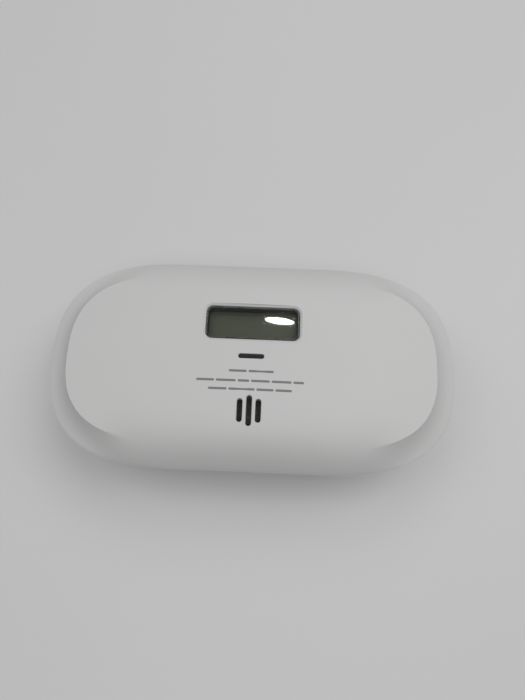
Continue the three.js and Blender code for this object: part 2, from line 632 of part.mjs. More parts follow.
function rearHousing() {
  const tongueLevels = [REAR_TOP - TONGUE_ROOT, REAR_TOP + TONGUE_RISE];
  const tongue = loft(tongueLevels.map((z) => ring(TONGUE_INSET, z)));
  const shell = rearBody(0).add(tongue).subtract(rearCavity(0));
  const bayOuter = [2 * (BAY_HALF_WIDTH + BAY_WALL), 2 * (BAY_HALF_LENGTH + BAY_WALL)];
  const bay = block(...bayOuter, FLOOR_Z - OVERCUT, BAY_TOP + BAY_ROOF, BAY_X);
  const bosses = CASE_SCREWS.map(([x, y]) =>
    drum(BOSS_RADIUS, FLOOR_Z - OVERCUT, BOSS_TOP, x, y, ROUND_STEPS / 2));
  const posts = BOARD_SCREWS.map(([x, y]) =>
    drum(POST_RADIUS, FLOOR_Z - OVERCUT, BOARD_Z - GAP, x, y, ROUND_STEPS / 2));
  const low = BACK_Z - OVERCUT;
  const headRecesses = CASE_SCREWS.map(([x, y]) =>
    drum(SCREW_HEAD + GAP, low, BACK_Z + CASE_SCREW_SEAT, x, y, ROUND_STEPS / 2));
  const shankHoles = CASE_SCREWS.map(([x, y]) =>
    drum(SCREW_SHANK + GAP, low, BOSS_TOP + OVERCUT, x, y, ROUND_STEPS / 2));
  const boardBores = BOARD_SCREWS.map(([x, y]) =>
    drum(SCREW_SHANK + GAP, BOARD_TOP + GAP - BOARD_SCREW_LENGTH - GAP, BOARD_Z, x, y, ROUND_STEPS / 2));
  const vents = Array.from({ length: VENT_COUNT }, (_, k) => {
    const x = (k - (VENT_COUNT - 1) / 2) * VENT_PITCH;
    const depth = HALF_HEIGHT - BOARD_HALF_HEIGHT;
    return block(VENT_WIDTH, depth, VENT_Z - VENT_HEIGHT / 2, VENT_Z + VENT_HEIGHT / 2, x,
      -HALF_HEIGHT + depth / 2);
  });
  const made = without(joined([shell, bay, ...bosses, ...posts]), [
    block(2 * BAY_HALF_WIDTH, 2 * BAY_HALF_LENGTH, low, BAY_TOP, BAY_X),
    plate(
      2 * (DOOR_HALF_WIDTH + RUNNING_GAP),
      2 * (DOOR_HALF_LENGTH + RUNNING_GAP),
      DOOR_CORNER,
      low,
      BACK_Z + DOOR_THICKNESS + RUNNING_GAP,
      BAY_X,
    ),
    ...hingeSockets(),
    ...[1, -1].map((end) => tabHole(end)),
    ...HOOKS.map(([x, y]) => hookSlot(x, y)),
    plate(LABEL_SIZE[0] + 2 * GAP, LABEL_SIZE[1] + 2 * GAP, DOOR_CORNER, low, BACK_Z + LABEL_RECESS, LABEL_X),
    ...headRecesses,
    ...shankHoles,
    ...boardBores,
    ...vents,
    plateAlongY(
      BUTTON_LENGTH + 2 * RUNNING_GAP,
      BUTTON_WIDTH + 2 * RUNNING_GAP,
      BUTTON_WIDTH / 2,
      BOARD_HALF_HEIGHT,
      HALF_HEIGHT,
      0,
      BUTTON_Z,
    ),
  ]);
  return piece("rear_housing", made, WHITE_PLASTIC);
}

/** The two open-sided holes that the door's pins snap into. */
function hingeSockets() {
  const radius = HINGE_PIN_RADIUS + GAP;
  const reach = DOOR_HALF_WIDTH + HINGE_PIN_LENGTH + GAP;
  const throat = block(2 * reach, 1.8 * HINGE_PIN_RADIUS, BACK_Z - OVERCUT, HINGE_Z, BAY_X, HINGE_Y);
  return [rodAlongX(radius, 2 * reach, BAY_X, HINGE_Y, HINGE_Z), throat];
}

/** The opening in the bay's roof for a contact's solder tab; end is 1 or -1. */
function tabHole(end) {
  const y = end * (BAY_HALF_LENGTH - GAP - CONTACT_THICKNESS / 2);
  const [width, height] = [TAB_WIDTH + 2 * GAP, CONTACT_THICKNESS + 2 * GAP];
  return block(width, height, BAY_TOP - OVERCUT, BAY_TOP + BAY_ROOF + OVERCUT, BAY_X, y);
}

function batteryDoor() {
  const panelLength = DOOR_HALF_LENGTH + HINGE_Y;
  const top = BACK_Z + DOOR_THICKNESS;
  const panelY = (HINGE_Y - DOOR_HALF_LENGTH) / 2;
  const panel = plate(2 * DOOR_HALF_WIDTH, panelLength, DOOR_CORNER / 2, BACK_Z, top, BAY_X, panelY);
  const knuckle = rodAlongX(HINGE_RADIUS, 2 * DOOR_HALF_WIDTH, BAY_X, HINGE_Y, HINGE_Z);
  const pins = rodAlongX(HINGE_PIN_RADIUS, 2 * (DOOR_HALF_WIDTH + HINGE_PIN_LENGTH), BAY_X, HINGE_Y, HINGE_Z);
  const latchY = -BAY_HALF_LENGTH + GAP + LATCH_SIZE[1] / 2;
  const latch = block(LATCH_SIZE[0], LATCH_SIZE[1], top - GAP, top + LATCH_SIZE[2], BAY_X, latchY);
  const grooveY = -DOOR_HALF_LENGTH + 1.5 * FINGER_GROOVE[1];
  const groove = plate(FINGER_GROOVE[0], FINGER_GROOVE[1], FINGER_GROOVE[1] / 2 - PILL_FLAT,
    BACK_Z - OVERCUT, BACK_Z + FINGER_GROOVE[2], BAY_X, grooveY);
  return piece("battery_door", joined([panel, knuckle, pins, latch]).subtract(groove), WHITE_PLASTIC);
}

function wallBracket() {
  const base = plate(2 * BRACKET_HALF_WIDTH, BRACKET_HEIGHT, BRACKET_CORNER, 0, BRACKET_THICKNESS);
  const toeZ = FLOOR_Z + RUNNING_GAP;
  const hooks = HOOKS.map(([x, y]) =>
    block(HOOK_STEM, HOOK_LENGTH, BRACKET_THICKNESS - GAP, toeZ + GAP, x, y).add(
      block(HOOK_WIDTH, HOOK_LENGTH, toeZ, toeZ + HOOK_TOE_THICKNESS, x, y),
    ));
  const slots = [1, -1].map((side) =>
    plate(WALL_SLOT_WIDTH, WALL_SLOT_LENGTH, WALL_SLOT_WIDTH / 2 - PILL_FLAT, -OVERCUT,
      BRACKET_THICKNESS + OVERCUT, side * WALL_SLOT_X));
  return piece("wall_bracket", without(joined([base, ...hooks]), slots), WHITE_PLASTIC);
}

const ratingLabel = () =>
  piece(
    "rating_label",
    plate(LABEL_SIZE[0], LABEL_SIZE[1], DOOR_CORNER, BACK_Z + LABEL_RECESS - GAP - LABEL_SIZE[2],
      BACK_Z + LABEL_RECESS - GAP, LABEL_X),
    LABEL_PAPER,
  );

const caseScrews = () =>
  CASE_SCREWS.map(([x, y], k) =>
    piece(`case_screw_${k + 1}`, screw(CASE_SCREW_LENGTH), BRIGHT_METAL, [x, y, CASE_SCREW_HEAD_Z],
      [Math.PI, 0, 0]));

// ---------------------------------------------------------------- display and status light

/** The display's parts, from the lens down to the holder that stands on the board. */
function display() {
  const lensWidth = WINDOW_WIDTH - 2 * GAP;
  const lensHeight = WINDOW_HEIGHT - 2 * GAP;
  const corner = WINDOW_CORNER - GAP;
  const at = [0, WINDOW_Y];
  const lens = plate(lensWidth, lensHeight, corner, LENS_BOTTOM, LENS_TOP, ...at);
  const flange = plate(
    WINDOW_WIDTH + 2 * BEZEL_FLANGE,
    WINDOW_HEIGHT + 2 * BEZEL_FLANGE,
    WINDOW_CORNER,
    BEZEL_BOTTOM,
    BEZEL_BOTTOM + BEZEL_FLANGE_THICKNESS,
    ...at,
  );
  const frame = plate(lensWidth, lensHeight, corner, BEZEL_BOTTOM, LENS_BOTTOM - GAP, ...at);
  const bezel = frame.add(flange).subtract(
    plate(lensWidth - 2 * BEZEL_BORDER, lensHeight - 2 * BEZEL_BORDER, corner - BEZEL_BORDER,
      BEZEL_BOTTOM - OVERCUT, LENS_TOP, ...at),
  );
  const glass = block(GLASS_WIDTH, GLASS_HEIGHT, GLASS_BOTTOM, GLASS_TOP, ...at);
  const backlight = block(GLASS_WIDTH, BACKLIGHT_HEIGHT, BACKLIGHT_TOP - BACKLIGHT_THICKNESS,
    BACKLIGHT_TOP, ...at);
  const stripY = (GLASS_HEIGHT - STRIP_WIDTH) / 2;
  const strip = (side) =>
    block(STRIP_LENGTH, STRIP_WIDTH, ON_BOARD, GLASS_BOTTOM - GAP, 0, WINDOW_Y + side * stripY);
  const holderWidth = GLASS_WIDTH + 2 * (GAP + HOLDER_WALL);
  const holderHeight = GLASS_HEIGHT + 2 * (GAP + HOLDER_WALL);
  const holder = without(block(holderWidth, holderHeight, ON_BOARD, GLASS_TOP, ...at), [
    block(GLASS_WIDTH + 2 * GAP, GLASS_HEIGHT + 2 * GAP, GLASS_BOTTOM - GAP, GLASS_TOP + OVERCUT, ...at),
    block(GLASS_WIDTH + 2 * GAP, BACKLIGHT_HEIGHT + 2 * GAP, SHELF_TOP, GLASS_TOP, ...at),
    block(GLASS_WIDTH, BACKLIGHT_HEIGHT - 2 * HOLDER_SHELF, ON_BOARD - OVERCUT, SHELF_TOP - HOLDER_SHELF,
      ...at),
    ...[1, -1].map((side) =>
      block(STRIP_LENGTH + 2 * GAP, STRIP_WIDTH + 2 * GAP, ON_BOARD - OVERCUT, GLASS_TOP, 0,
        WINDOW_Y + side * stripY)),
  ]);
  return [
    piece("display_lens", lens, CLEAR_PLASTIC),
    piece("display_bezel", bezel, BLACK_PLASTIC),
    piece("display_glass", glass, DISPLAY_GLASS),
    piece("display_backlight", backlight, DIFFUSER_PLASTIC),
    piece("display_holder", holder, SENSOR_PLASTIC),
    piece("upper_contact_strip", strip(1), RUBBER),
    piece("lower_contact_strip", strip(-1), RUBBER),
  ];
}

function statusLight() {
  const bladeWidth = LIGHT_SLOT_WIDTH - 2 * GAP;
  const blade = plate(LIGHT_SLOT_LENGTH - 2 * GAP, bladeWidth, bladeWidth / 2 - PILL_FLAT, LED_TOP + GAP,
    DEPTH - GAP, 0, LIGHT_SLOT_Y);
  const base = block(...GUIDE_BASE, LED_TOP + GAP, DEPTH - GUIDE_BASE_TOP, 0, LIGHT_SLOT_Y);
  const shoulder = LED_TOP - LED_RADIUS;
  const led = turned([
    [0, ON_BOARD],
    [LED_RADIUS, ON_BOARD],
    [LED_RADIUS, shoulder],
    [LED_RADIUS * Math.SQRT1_2, shoulder + LED_RADIUS * Math.SQRT1_2],
    [0, LED_TOP],
  ], ROUND_STEPS / 2);
  const lamps = [
    ["power_led", LED_GREEN],
    ["alarm_led", LED_RED],
    ["fault_led", LED_YELLOW],
  ];
  return [
    piece("status_light_guide", blade.add(base), SMOKED_PLASTIC),
    ...lamps.map(([name, glow], k) => piece(name, led, glow, [(k - 1) * LED_PITCH, LIGHT_SLOT_Y, 0])),
  ];
}

// ---------------------------------------------------------------- sounder

function sounder() {
  const at = [0, SOUND_SLOT_Y];
  const inner = SOUNDER_RADIUS - SOUNDER_WALL;
  const cup = without(drum(SOUNDER_RADIUS, ON_BOARD, SOUNDER_CAP_Z - GAP, ...at), [
    drum(inner, DISC_Z - GAP, SOUNDER_CAP_Z, ...at),
    drum(inner - DISC_SEAT, ON_BOARD + SOUNDER_WALL, DISC_Z, ...at),
  ]);
  const cap = drum(SOUNDER_RADIUS, SOUNDER_CAP_Z, SOUNDER_TOP, ...at).subtract(
    drum(SOUNDER_MOUTH, SOUNDER_CAP_Z - OVERCUT, SOUNDER_TOP + OVERCUT, ...at));
  const gasket = drum(GASKET_OUTER, SOUNDER_TOP + GAP, DEPTH, ...at)
    .subtract(drum(GASKET_INNER, SOUNDER_TOP, DEPTH + OVERCUT, ...at))
    .intersect(coverBody(SHELL_WALL + GAP));
  const meshTop = faceHeight(0, SOUND_SLOT_Y - MESH_RADIUS - SHELL_WALL) - SHELL_WALL - GAP;
  return [
    piece("sounder_case", cup, BLACK_PLASTIC),
    piece("sounder_disc", drum(inner - GAP, DISC_Z, DISC_Z + DISC_THICKNESS, ...at), BRASS),
    piece("sounder_cap", cap, BLACK_PLASTIC),
    piece("sounder_gasket", gasket, FOAM),
    piece("sound_slot_mesh", drum(MESH_RADIUS, meshTop - MESH_THICKNESS, meshTop, ...at), RUBBER),
  ];
}

// ---------------------------------------------------------------- circuit board

function circuitBoard() {
  const width = BOARD_RIGHT - BOARD_LEFT;
  const middle = (BOARD_LEFT + BOARD_RIGHT) / 2;
  const laminate = plate(width, 2 * BOARD_HALF_HEIGHT, BOARD_CORNER, BOARD_Z, BOARD_TOP, middle);
  const holes = BOARD_SCREWS.map(([x, y]) =>
    drum(SCREW_SHANK + GAP, BOARD_Z - OVERCUT, BOARD_TOP + OVERCUT, x, y, ROUND_STEPS / 2));
  return piece("circuit_board", without(laminate, holes), BOARD_LAMINATE);
}

const boardScrews = () =>
  BOARD_SCREWS.map(([x, y], k) =>
    piece(`board_screw_${k + 1}`, screw(BOARD_SCREW_LENGTH), BRIGHT_METAL,
      [x, y, ON_BOARD + SCREW_HEAD_HEIGHT]));

function gasSensor() {
  const top = ON_BOARD + SENSOR_HEIGHT;
  const can = drum(SENSOR_RADIUS, ON_BOARD, top, ...SENSOR_XY);
  const capZ = top + GAP;
  const holes = Array.from({ length: SENSOR_HOLES }, (_, k) => {
    const angle = (2 * Math.PI * k) / SENSOR_HOLES;
    const x = SENSOR_XY[0] + SENSOR_HOLE_RING * Math.cos(angle);
    const y = SENSOR_XY[1] + SENSOR_HOLE_RING * Math.sin(angle);
    return drum(SENSOR_HOLE_RADIUS, capZ - OVERCUT, capZ + SENSOR_CAP_THICKNESS + OVERCUT, x, y, 8);
  });
  const cap = drum(SENSOR_RADIUS, capZ, capZ + SENSOR_CAP_THICKNESS, ...SENSOR_XY);
  return [
    piece("gas_sensor", can, BRIGHT_METAL),
    piece("gas_sensor_cap", without(cap, holes), SENSOR_PLASTIC),
  ];
}

function electronics() {
  const radioTop = ON_BOARD + RADIO_SIZE[2];
  const shieldZ = radioTop + GAP;
  const coil = new Coil(ANTENNA_RADIUS, ANTENNA_RADIUS, ANTENNA_LENGTH, ANTENNA_TURNS);
  const antennaZ = ON_BOARD + ANTENNA_RADIUS + 2 * ANTENNA_WIRE;
  return [
    piece("microcontroller", block(CHIP_SIZE[0], CHIP_SIZE[1], ON_BOARD, ON_BOARD + CHIP_SIZE[2], ...CHIP_XY),
      CHIP_RESIN),
    piece("storage_capacitor", drum(CAPACITOR_RADIUS, ON_BOARD, ON_BOARD + CAPACITOR_HEIGHT, ...CAPACITOR_XY),
      BATTERY_SLEEVE),
    piece("boost_inductor", drum(INDUCTOR_RADIUS, ON_BOARD, ON_BOARD + INDUCTOR_HEIGHT, ...INDUCTOR_XY),
      CHIP_RESIN),
    piece("radio_board", block(RADIO_SIZE[0], RADIO_SIZE[1], ON_BOARD, radioTop, ...RADIO_XY),
      BOARD_LAMINATE),
    piece("radio_shield",
      block(SHIELD_SIZE[0], SHIELD_SIZE[1], shieldZ, shieldZ + SHIELD_SIZE[2], ...RADIO_XY), BRIGHT_METAL),
    piece("antenna", tube(coil, ANTENNA_WIRE, COIL_STEPS * ANTENNA_TURNS, WIRE_SIDES), BRASS,
      [...ANTENNA_XY, antennaZ], [0, 0, -Math.PI / 2]),
  ];
}

// ---------------------------------------------------------------- test button

function testButton() {
  const pillCorner = BUTTON_WIDTH / 2 - PILL_FLAT;
  const body = plateAlongY(BUTTON_LENGTH, BUTTON_WIDTH, pillCorner, BUTTON_BACK, HALF_HEIGHT, 0, BUTTON_Z)
    .intersect(rearBody(BUTTON_PROUD));
  const flange = plateAlongY(
    BUTTON_LENGTH + 2 * BUTTON_FLANGE,
    BUTTON_WIDTH + 2 * BUTTON_FLANGE,
    BUTTON_WIDTH / 2,
    BUTTON_BACK,
    BUTTON_BACK + BUTTON_FLANGE_DEPTH,
    0,
    BUTTON_Z,
  ).intersect(rearCavity(RUNNING_GAP));
  return piece("test_button", body.add(flange), WHITE_PLASTIC);
}

function testSwitch() {
  const [width, length, height] = SWITCH_SIZE;
  const bore = rodAlongY(PLUNGER_RADIUS + GAP, SWITCH_FRONT - 2 * PLUNGER_DEPTH, SWITCH_FRONT + OVERCUT, 0,
    BUTTON_Z);
  const body = block(width, length, ON_BOARD, ON_BOARD + height, 0, SWITCH_FRONT - length / 2);
  const plunger = rodAlongY(PLUNGER_RADIUS, SWITCH_FRONT - PLUNGER_DEPTH, SWITCH_FRONT + PLUNGER_REACH, 0,
    BUTTON_Z);
  return [
    piece("test_switch", body.subtract(bore), CHIP_RESIN),
    piece("test_switch_plunger", plunger, SENSOR_PLASTIC),
  ];
}

// ---------------------------------------------------------------- battery

/** A contact plate at one end of the bay, with the solder tab that stands through the bay's roof. */
function contactPlate(end) {
  const y = end * (BAY_HALF_LENGTH - GAP - CONTACT_THICKNESS / 2);
  const face = block(CONTACT_WIDTH, CONTACT_THICKNESS, BATTERY_Z - CONTACT_WIDTH / 2,
    BATTERY_Z + CONTACT_WIDTH / 2, BAY_X, y);
  const tab = block(TAB_WIDTH, CONTACT_THICKNESS, BATTERY_Z, BAY_TOP + BAY_ROOF + TAB_RISE, BAY_X, y);
  return face.add(tab);
}

/** A lead from a solder tab, over the bay's roof and down to the board; end is 1 or -1. */
function batteryLead(end) {
  const roof = BAY_TOP + BAY_ROOF;
  const over = roof + LEAD_RADIUS + GAP;
  const wallX = BAY_X + BAY_HALF_WIDTH + BAY_WALL;
  const tabY = BAY_HALF_LENGTH - GAP - CONTACT_THICKNESS / 2;
  const footX = BOARD_LEFT + 1.5 * LEAD_RADIUS;
  const footY = LEAD_FEET_Y[end > 0 ? 0 : 1];
  const points = [
    [BAY_X + TAB_WIDTH / 2 + GAP, end * tabY, over],
    [BAY_X + TAB_WIDTH, end * (tabY - 0.4), over + 0.1],
    [wallX - 4, end * (tabY - 3.5), over + 0.3],
    [wallX, end * (tabY - 8), over + 0.2],
    [wallX + 2, end * (tabY - 11), roof - 1.6],
    [wallX + 2.6, end * (tabY - 13.5), roof - 4.5],
    [footX - 0.6, footY + end, ON_BOARD + 2.6],
    [footX, footY, ON_BOARD],
  ].map((point) => new THREE.Vector3(...point));
  return tube(new THREE.CatmullRomCurve3(points), LEAD_RADIUS, LEAD_STEPS);
}

function power() {
  const springBase = -BAY_HALF_LENGTH + 2 * GAP + CONTACT_THICKNESS + SPRING_WIRE;
  const cellEnd = BAY_HALF_LENGTH - 2 * GAP - CONTACT_THICKNESS;
  const body = BATTERY_LENGTH - BATTERY_NUB;
  const cell = turned([
    [0, 0],
    [BATTERY_RADIUS, 0],
    [BATTERY_RADIUS, body],
    [BATTERY_NUB_RADIUS, body],
    [BATTERY_NUB_RADIUS, BATTERY_LENGTH],
    [0, BATTERY_LENGTH],
  ]);
  const spring = new Coil(SPRING_WIDE, SPRING_NARROW, SPRING_LENGTH - 2 * SPRING_WIRE - GAP, SPRING_TURNS);
  return [
    piece("battery", cell, BATTERY_SLEEVE, [BAY_X, cellEnd - BATTERY_LENGTH, BATTERY_Z],
      [-Math.PI / 2, 0, 0]),
    piece("battery_spring", tube(spring, SPRING_WIRE, COIL_STEPS * SPRING_TURNS, WIRE_SIDES), BRIGHT_METAL,
      [BAY_X, springBase, BATTERY_Z]),
    piece("battery_spring_plate", contactPlate(-1), BRIGHT_METAL),
    piece("battery_plate", contactPlate(1), BRIGHT_METAL),
    piece("red_battery_lead", batteryLead(1), RED_WIRE),
    piece("black_battery_lead", batteryLead(-1), BLACK_WIRE),
  ];
}

// ---------------------------------------------------------------- the whole alarm

const alarm = new THREE.Group();
alarm.add(
  frontCover(),
  rearHousing(),
  batteryDoor(),
  wallBracket(),
  ratingLabel(),
  testButton(),
  ...caseScrews(),
  ...display(),
  ...statusLight(),
  ...sounder(),
  circuitBoard(),
  ...boardScrews(),
  ...gasSensor(),
  ...electronics(),
  ...testSwitch(),
  ...power(),
);

export default alarm;
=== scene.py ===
"""The looks of a battery-powered carbon monoxide alarm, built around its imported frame.

Every length is in metres, in the frame's own axes: +X is to the alarm's right, +Y is to its top edge and
+Z is out of its face.
"""

import json
import logging
import math
from dataclasses import dataclass, field
from enum import Enum
from typing import Protocol, Sequence

import bpy
from mathutils import Matrix, Vector

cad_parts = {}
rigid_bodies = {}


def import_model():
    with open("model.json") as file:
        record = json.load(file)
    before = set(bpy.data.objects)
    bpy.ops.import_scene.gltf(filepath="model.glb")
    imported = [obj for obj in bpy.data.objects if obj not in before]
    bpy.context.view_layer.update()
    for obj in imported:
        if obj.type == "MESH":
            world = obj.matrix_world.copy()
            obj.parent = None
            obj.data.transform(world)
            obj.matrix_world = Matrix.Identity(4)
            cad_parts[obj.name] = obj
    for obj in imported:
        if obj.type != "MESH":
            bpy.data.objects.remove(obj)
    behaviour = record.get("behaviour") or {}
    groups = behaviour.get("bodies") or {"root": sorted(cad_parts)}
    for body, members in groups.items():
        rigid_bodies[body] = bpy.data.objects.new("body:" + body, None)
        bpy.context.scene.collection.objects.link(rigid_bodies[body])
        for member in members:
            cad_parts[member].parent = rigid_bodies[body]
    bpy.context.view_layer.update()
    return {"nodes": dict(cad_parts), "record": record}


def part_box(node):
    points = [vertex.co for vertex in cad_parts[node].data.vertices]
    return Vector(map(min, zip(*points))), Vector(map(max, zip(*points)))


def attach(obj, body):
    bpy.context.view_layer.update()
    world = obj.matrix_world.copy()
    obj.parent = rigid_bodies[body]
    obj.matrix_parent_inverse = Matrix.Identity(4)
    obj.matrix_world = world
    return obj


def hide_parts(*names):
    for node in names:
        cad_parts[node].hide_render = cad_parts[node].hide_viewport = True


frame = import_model()

logging.basicConfig(level=logging.INFO, format="%(message)s")
log = logging.getLogger("alarm")

MM = 0.001
FINE_EDGE = 0.05 * MM  # the edge radius of a shape that only cuts
QUARTER_TURN = math.pi / 2
ROUND_STEPS = 48

Point = tuple[float, float, float]
Flat = tuple[float, float]
Colour = tuple[float, float, float]


# ---------------------------------------------------------------- shader maths


class Maths:
    """A shader socket, or a number, that Python's own operators work on."""

    def __init__(self, shader: "Shader", value: object) -> None:
        """Keeps the shader that the socket belongs to, and the socket itself."""
        self.shader = shader
        self.value = value

    def _join(self, operation: str, first: object, second: object) -> "Maths":
        """Adds one Math node.

        Args:
            operation: the Math node's operation.
            first: its first input.
            second: its second input.

        Returns:
            The node's output.
        """
        return self.shader.node("ShaderNodeMath", {"operation": operation}, {0: first, 1: second})

    def __add__(self, other: object) -> "Maths":
        """self + other."""
        return self._join("ADD", self, other)

    def __radd__(self, other: object) -> "Maths":
        """other + self."""
        return self._join("ADD", other, self)

    def __sub__(self, other: object) -> "Maths":
        """self - other."""
        return self._join("SUBTRACT", self, other)

    def __rmul__(self, other: object) -> "Maths":
        """other * self."""
        return self._join("MULTIPLY", other, self)

    def __gt__(self, other: object) -> "Maths":
        """1 where self is greater than other, and 0 elsewhere."""
        return self._join("GREATER_THAN", self, other)


class Shader:
    """A material with one Principled BSDF, and the nodes that feed it."""

    def __init__(self, name: str) -> None:
        """Makes an empty material.

        Args:
            name: the material's name.
        """
        self.material = bpy.data.materials.new(name)
        self.material.use_nodes = True
        self.tree = self.material.node_tree
        self.tree.nodes.clear()
        self.bsdf = self.tree.nodes.new("ShaderNodeBsdfPrincipled")
        self.surface = self.tree.nodes.new("ShaderNodeOutputMaterial").inputs["Surface"]
        self.tree.links.new(self.bsdf.outputs[0], self.surface)

    def feed(self, socket: bpy.types.NodeSocket, value: object) -> None:
        """Sets a socket, or links it.

        Args:
            socket: the input to fill.
            value: a number, a tuple, or a Maths that wraps a socket.
        """
        inner = value.value if isinstance(value, Maths) else value
        if isinstance(inner, bpy.types.NodeSocket):
            self.tree.links.new(inner, socket)
            return
        if isinstance(inner, tuple) and len(inner) == 3 and socket.type == "RGBA":
            inner = (*inner, 1.0)
        socket.default_value = inner

    def node(self, kind: str, settings: dict, inputs: dict, output: object = 0) -> Maths:
        """Adds any node.

        Args:
            kind: the node's type.
            settings: its own properties, set first.
            inputs: socket names or numbers, with their values or links.
            output: the name or number of the output that is returned.

        Returns:
            The chosen output.
        """
        made = self.tree.nodes.new(kind)
        for key, value in settings.items():
            setattr(made, key, value)
        for key, value in inputs.items():
            self.feed(made.inputs[key], value)
        return Maths(self, made.outputs[output])

    def place(self) -> Maths:
        """The point in the object's own coordinates."""
        return self.node("ShaderNodeTexCoord", {}, {}, "Object")

    def noise(self, scale: float, detail: float = 2.0, roughness: float = 0.5) -> Maths:
        """A noise pattern.

        Args:
            scale: waves to the metre.
            detail: how many finer layers it has.
            roughness: how strong those layers are.

        Returns:
            Its value, 0 to 1.
        """
        inputs = {"Vector": self.place(), "Scale": scale, "Detail": detail, "Roughness": roughness}
        return self.node("ShaderNodeTexNoise", {}, inputs, "Fac")

    def mix(self, share: Maths, first: Colour, second: Colour) -> Maths:
        """A blend of two colours.

        Args:
            share: 0 for the first colour, 1 for the second.
            first: the first colour.
            second: the second colour.

        Returns:
            The blended colour.
        """
        factor, a, b, result = 0, 6, 7, 2
        settings = {"data_type": "RGBA"}
        return self.node("ShaderNodeMix", settings, {factor: share, a: first, b: second}, result)

    def bump(self, height: Maths, distance: float) -> None:
        """Raises the surface by a height pattern.

        Args:
            height: the pattern.
            distance: how far a height of 1 stands up.
        """
        made = self.node("ShaderNodeBump", {}, {"Height": height, "Distance": distance})
        self.feed(self.bsdf.inputs["Normal"], made)

    def blend(self, other: bpy.types.NodeSocket, share: Maths) -> None:
        """Mixes another shader in, so that the BSDF keeps only a share.

        Args:
            other: the other shader's output.
            share: how much of the BSDF is kept.
        """
        mixed = self.node("ShaderNodeMixShader", {}, {0: share, 1: other, 2: self.bsdf.outputs[0]})
        self.feed(self.surface, mixed)

    def set(self, **values: object) -> "Shader":
        """Fills the BSDF's sockets.

        Args:
            values: a value for each socket; an underscore in a name stands for a space.

        Returns:
            The shader itself.
        """
        for name, value in values.items():
            self.feed(self.bsdf.inputs[name.replace("_", " ")], value)
        return self


class Finish(Protocol):
    """What a piece can be finished in."""

    def material(self) -> bpy.types.Material:
        """The finish as a new material."""


@dataclass(frozen=True)
class Moulded:
    """Moulded plastic with a spark-eroded grain, faint sink marks and a little handling wear."""

    name: str
    colour: Colour
    shade: Colour
    roughness: float = 0.45
    grain_scale: float = 2600.0
    grain_height: float = 0.000012
    coat: float = 0.0
    wear: float = 0.05
    specular: float = 0.45
    cloud_scale: float = 38.0
    smear_scale: float = 170.0

    def material(self) -> bpy.types.Material:
        """The finish as a material."""
        shader = Shader(self.name)
        grain = shader.noise(self.grain_scale, 3.0, 0.6)
        cloud = shader.noise(self.cloud_scale, 3.0)
        smear = shader.noise(self.smear_scale, 4.0, 0.65)
        shader.set(
            Base_Color=shader.mix(cloud, self.colour, self.shade),
            Roughness=self.roughness + self.wear * (smear - 0.5) + 0.05 * (grain - 0.5),
            Specular_IOR_Level=self.specular,
            Coat_Weight=self.coat,
        )
        shader.bump(grain, self.grain_height)
        return shader.material


@dataclass(frozen=True)
class Plated:
    """Plated or rolled metal with fine drawing marks."""

    name: str
    colour: Colour
    tarnish: Colour
    roughness: float = 0.28
    mark_scale: float = 5200.0
    mark_height: float = 0.000006
    cloud_scale: float = 420.0

    def material(self) -> bpy.types.Material:
        """The finish as a material."""
        shader = Shader(self.name)
        marks = shader.noise(self.mark_scale, 2.0)
        cloud = shader.noise(self.cloud_scale, 3.0)
        shader.set(
            Base_Color=shader.mix(cloud, self.colour, self.tarnish),
            Metallic=1.0,
            Roughness=self.roughness + 0.14 * (cloud - 0.5) + 0.08 * (marks - 0.5),
        )
        shader.bump(marks, self.mark_height)
        return shader.material


@dataclass(frozen=True)
class Clear:
    """Clear plastic: most light goes through it, and its polished face mirrors a little of the room."""

    name: str
    colour: Colour
    mirror: float = 0.05
    roughness: float = 0.02
    dust_scale: float = 900.0
    dust_level: float = 0.66

    def material(self) -> bpy.types.Material:
        """The finish as a material."""
        shader = Shader(self.name)
        dust = shader.noise(self.dust_scale, 4.0) > self.dust_level
        shader.set(Base_Color=self.colour, Metallic=1.0, Roughness=self.roughness + 0.05 * dust)
        through = shader.tree.nodes.new("ShaderNodeBsdfTransparent")
        through.inputs["Color"].default_value = (*self.colour, 1.0)
        shader.blend(through.outputs[0], self.mirror + 0.03 * dust)
        return shader.material


@dataclass(frozen=True)
class Cell:
    """The face of a blank liquid-crystal cell: olive grey under a matt polariser."""

    name: str
    colour: Colour
    shade: Colour
    roughness: float = 0.32
    coat: float = 0.3
    cloud_scale: float = 60.0
    speck_scale: float = 4200.0
    speck_height: float = 0.000003

    def material(self) -> bpy.types.Material:
        """The finish as a material."""
        shader = Shader(self.name)
        cloud = shader.noise(self.cloud_scale, 2.0)
        speck = shader.noise(self.speck_scale, 2.0)
        shader.set(
            Base_Color=shader.mix(cloud, self.colour, self.shade),
            Roughness=self.roughness + 0.1 * (speck - 0.5),
            Coat_Weight=self.coat,
        )
        shader.bump(speck, self.speck_height)
        return shader.material


WHITE = Moulded("white_satin_plastic", (0.612, 0.61, 0.607), (0.597, 0.595, 0.592), 0.48)
WHITE_REAR = Moulded("white_rear_plastic", (0.572, 0.57, 0.567), (0.552, 0.55, 0.547), 0.52)
BLACK = Moulded("black_satin_plastic", (0.006, 0.006, 0.006), (0.009, 0.009, 0.009), 0.6, specular=0.2)
SMOKED = Moulded("smoked_light_bar", (0.014, 0.013, 0.014), (0.02, 0.018, 0.02), 0.35, specular=0.25)
RUBBER = Moulded("grey_rubber", (0.14, 0.136, 0.133), (0.11, 0.107, 0.105), 0.75)
SLEEVE = Moulded("cell_sleeve", (0.03, 0.05, 0.09), (0.025, 0.042, 0.078), 0.28, coat=0.4)
MARKING = Moulded("grey_marking_ink", (0.19, 0.19, 0.192), (0.22, 0.22, 0.222), 0.6)
METAL = Plated("plated_steel", (0.62, 0.63, 0.64), (0.5, 0.51, 0.53))
LENS = Clear("clear_lens", (0.93, 0.95, 0.93))
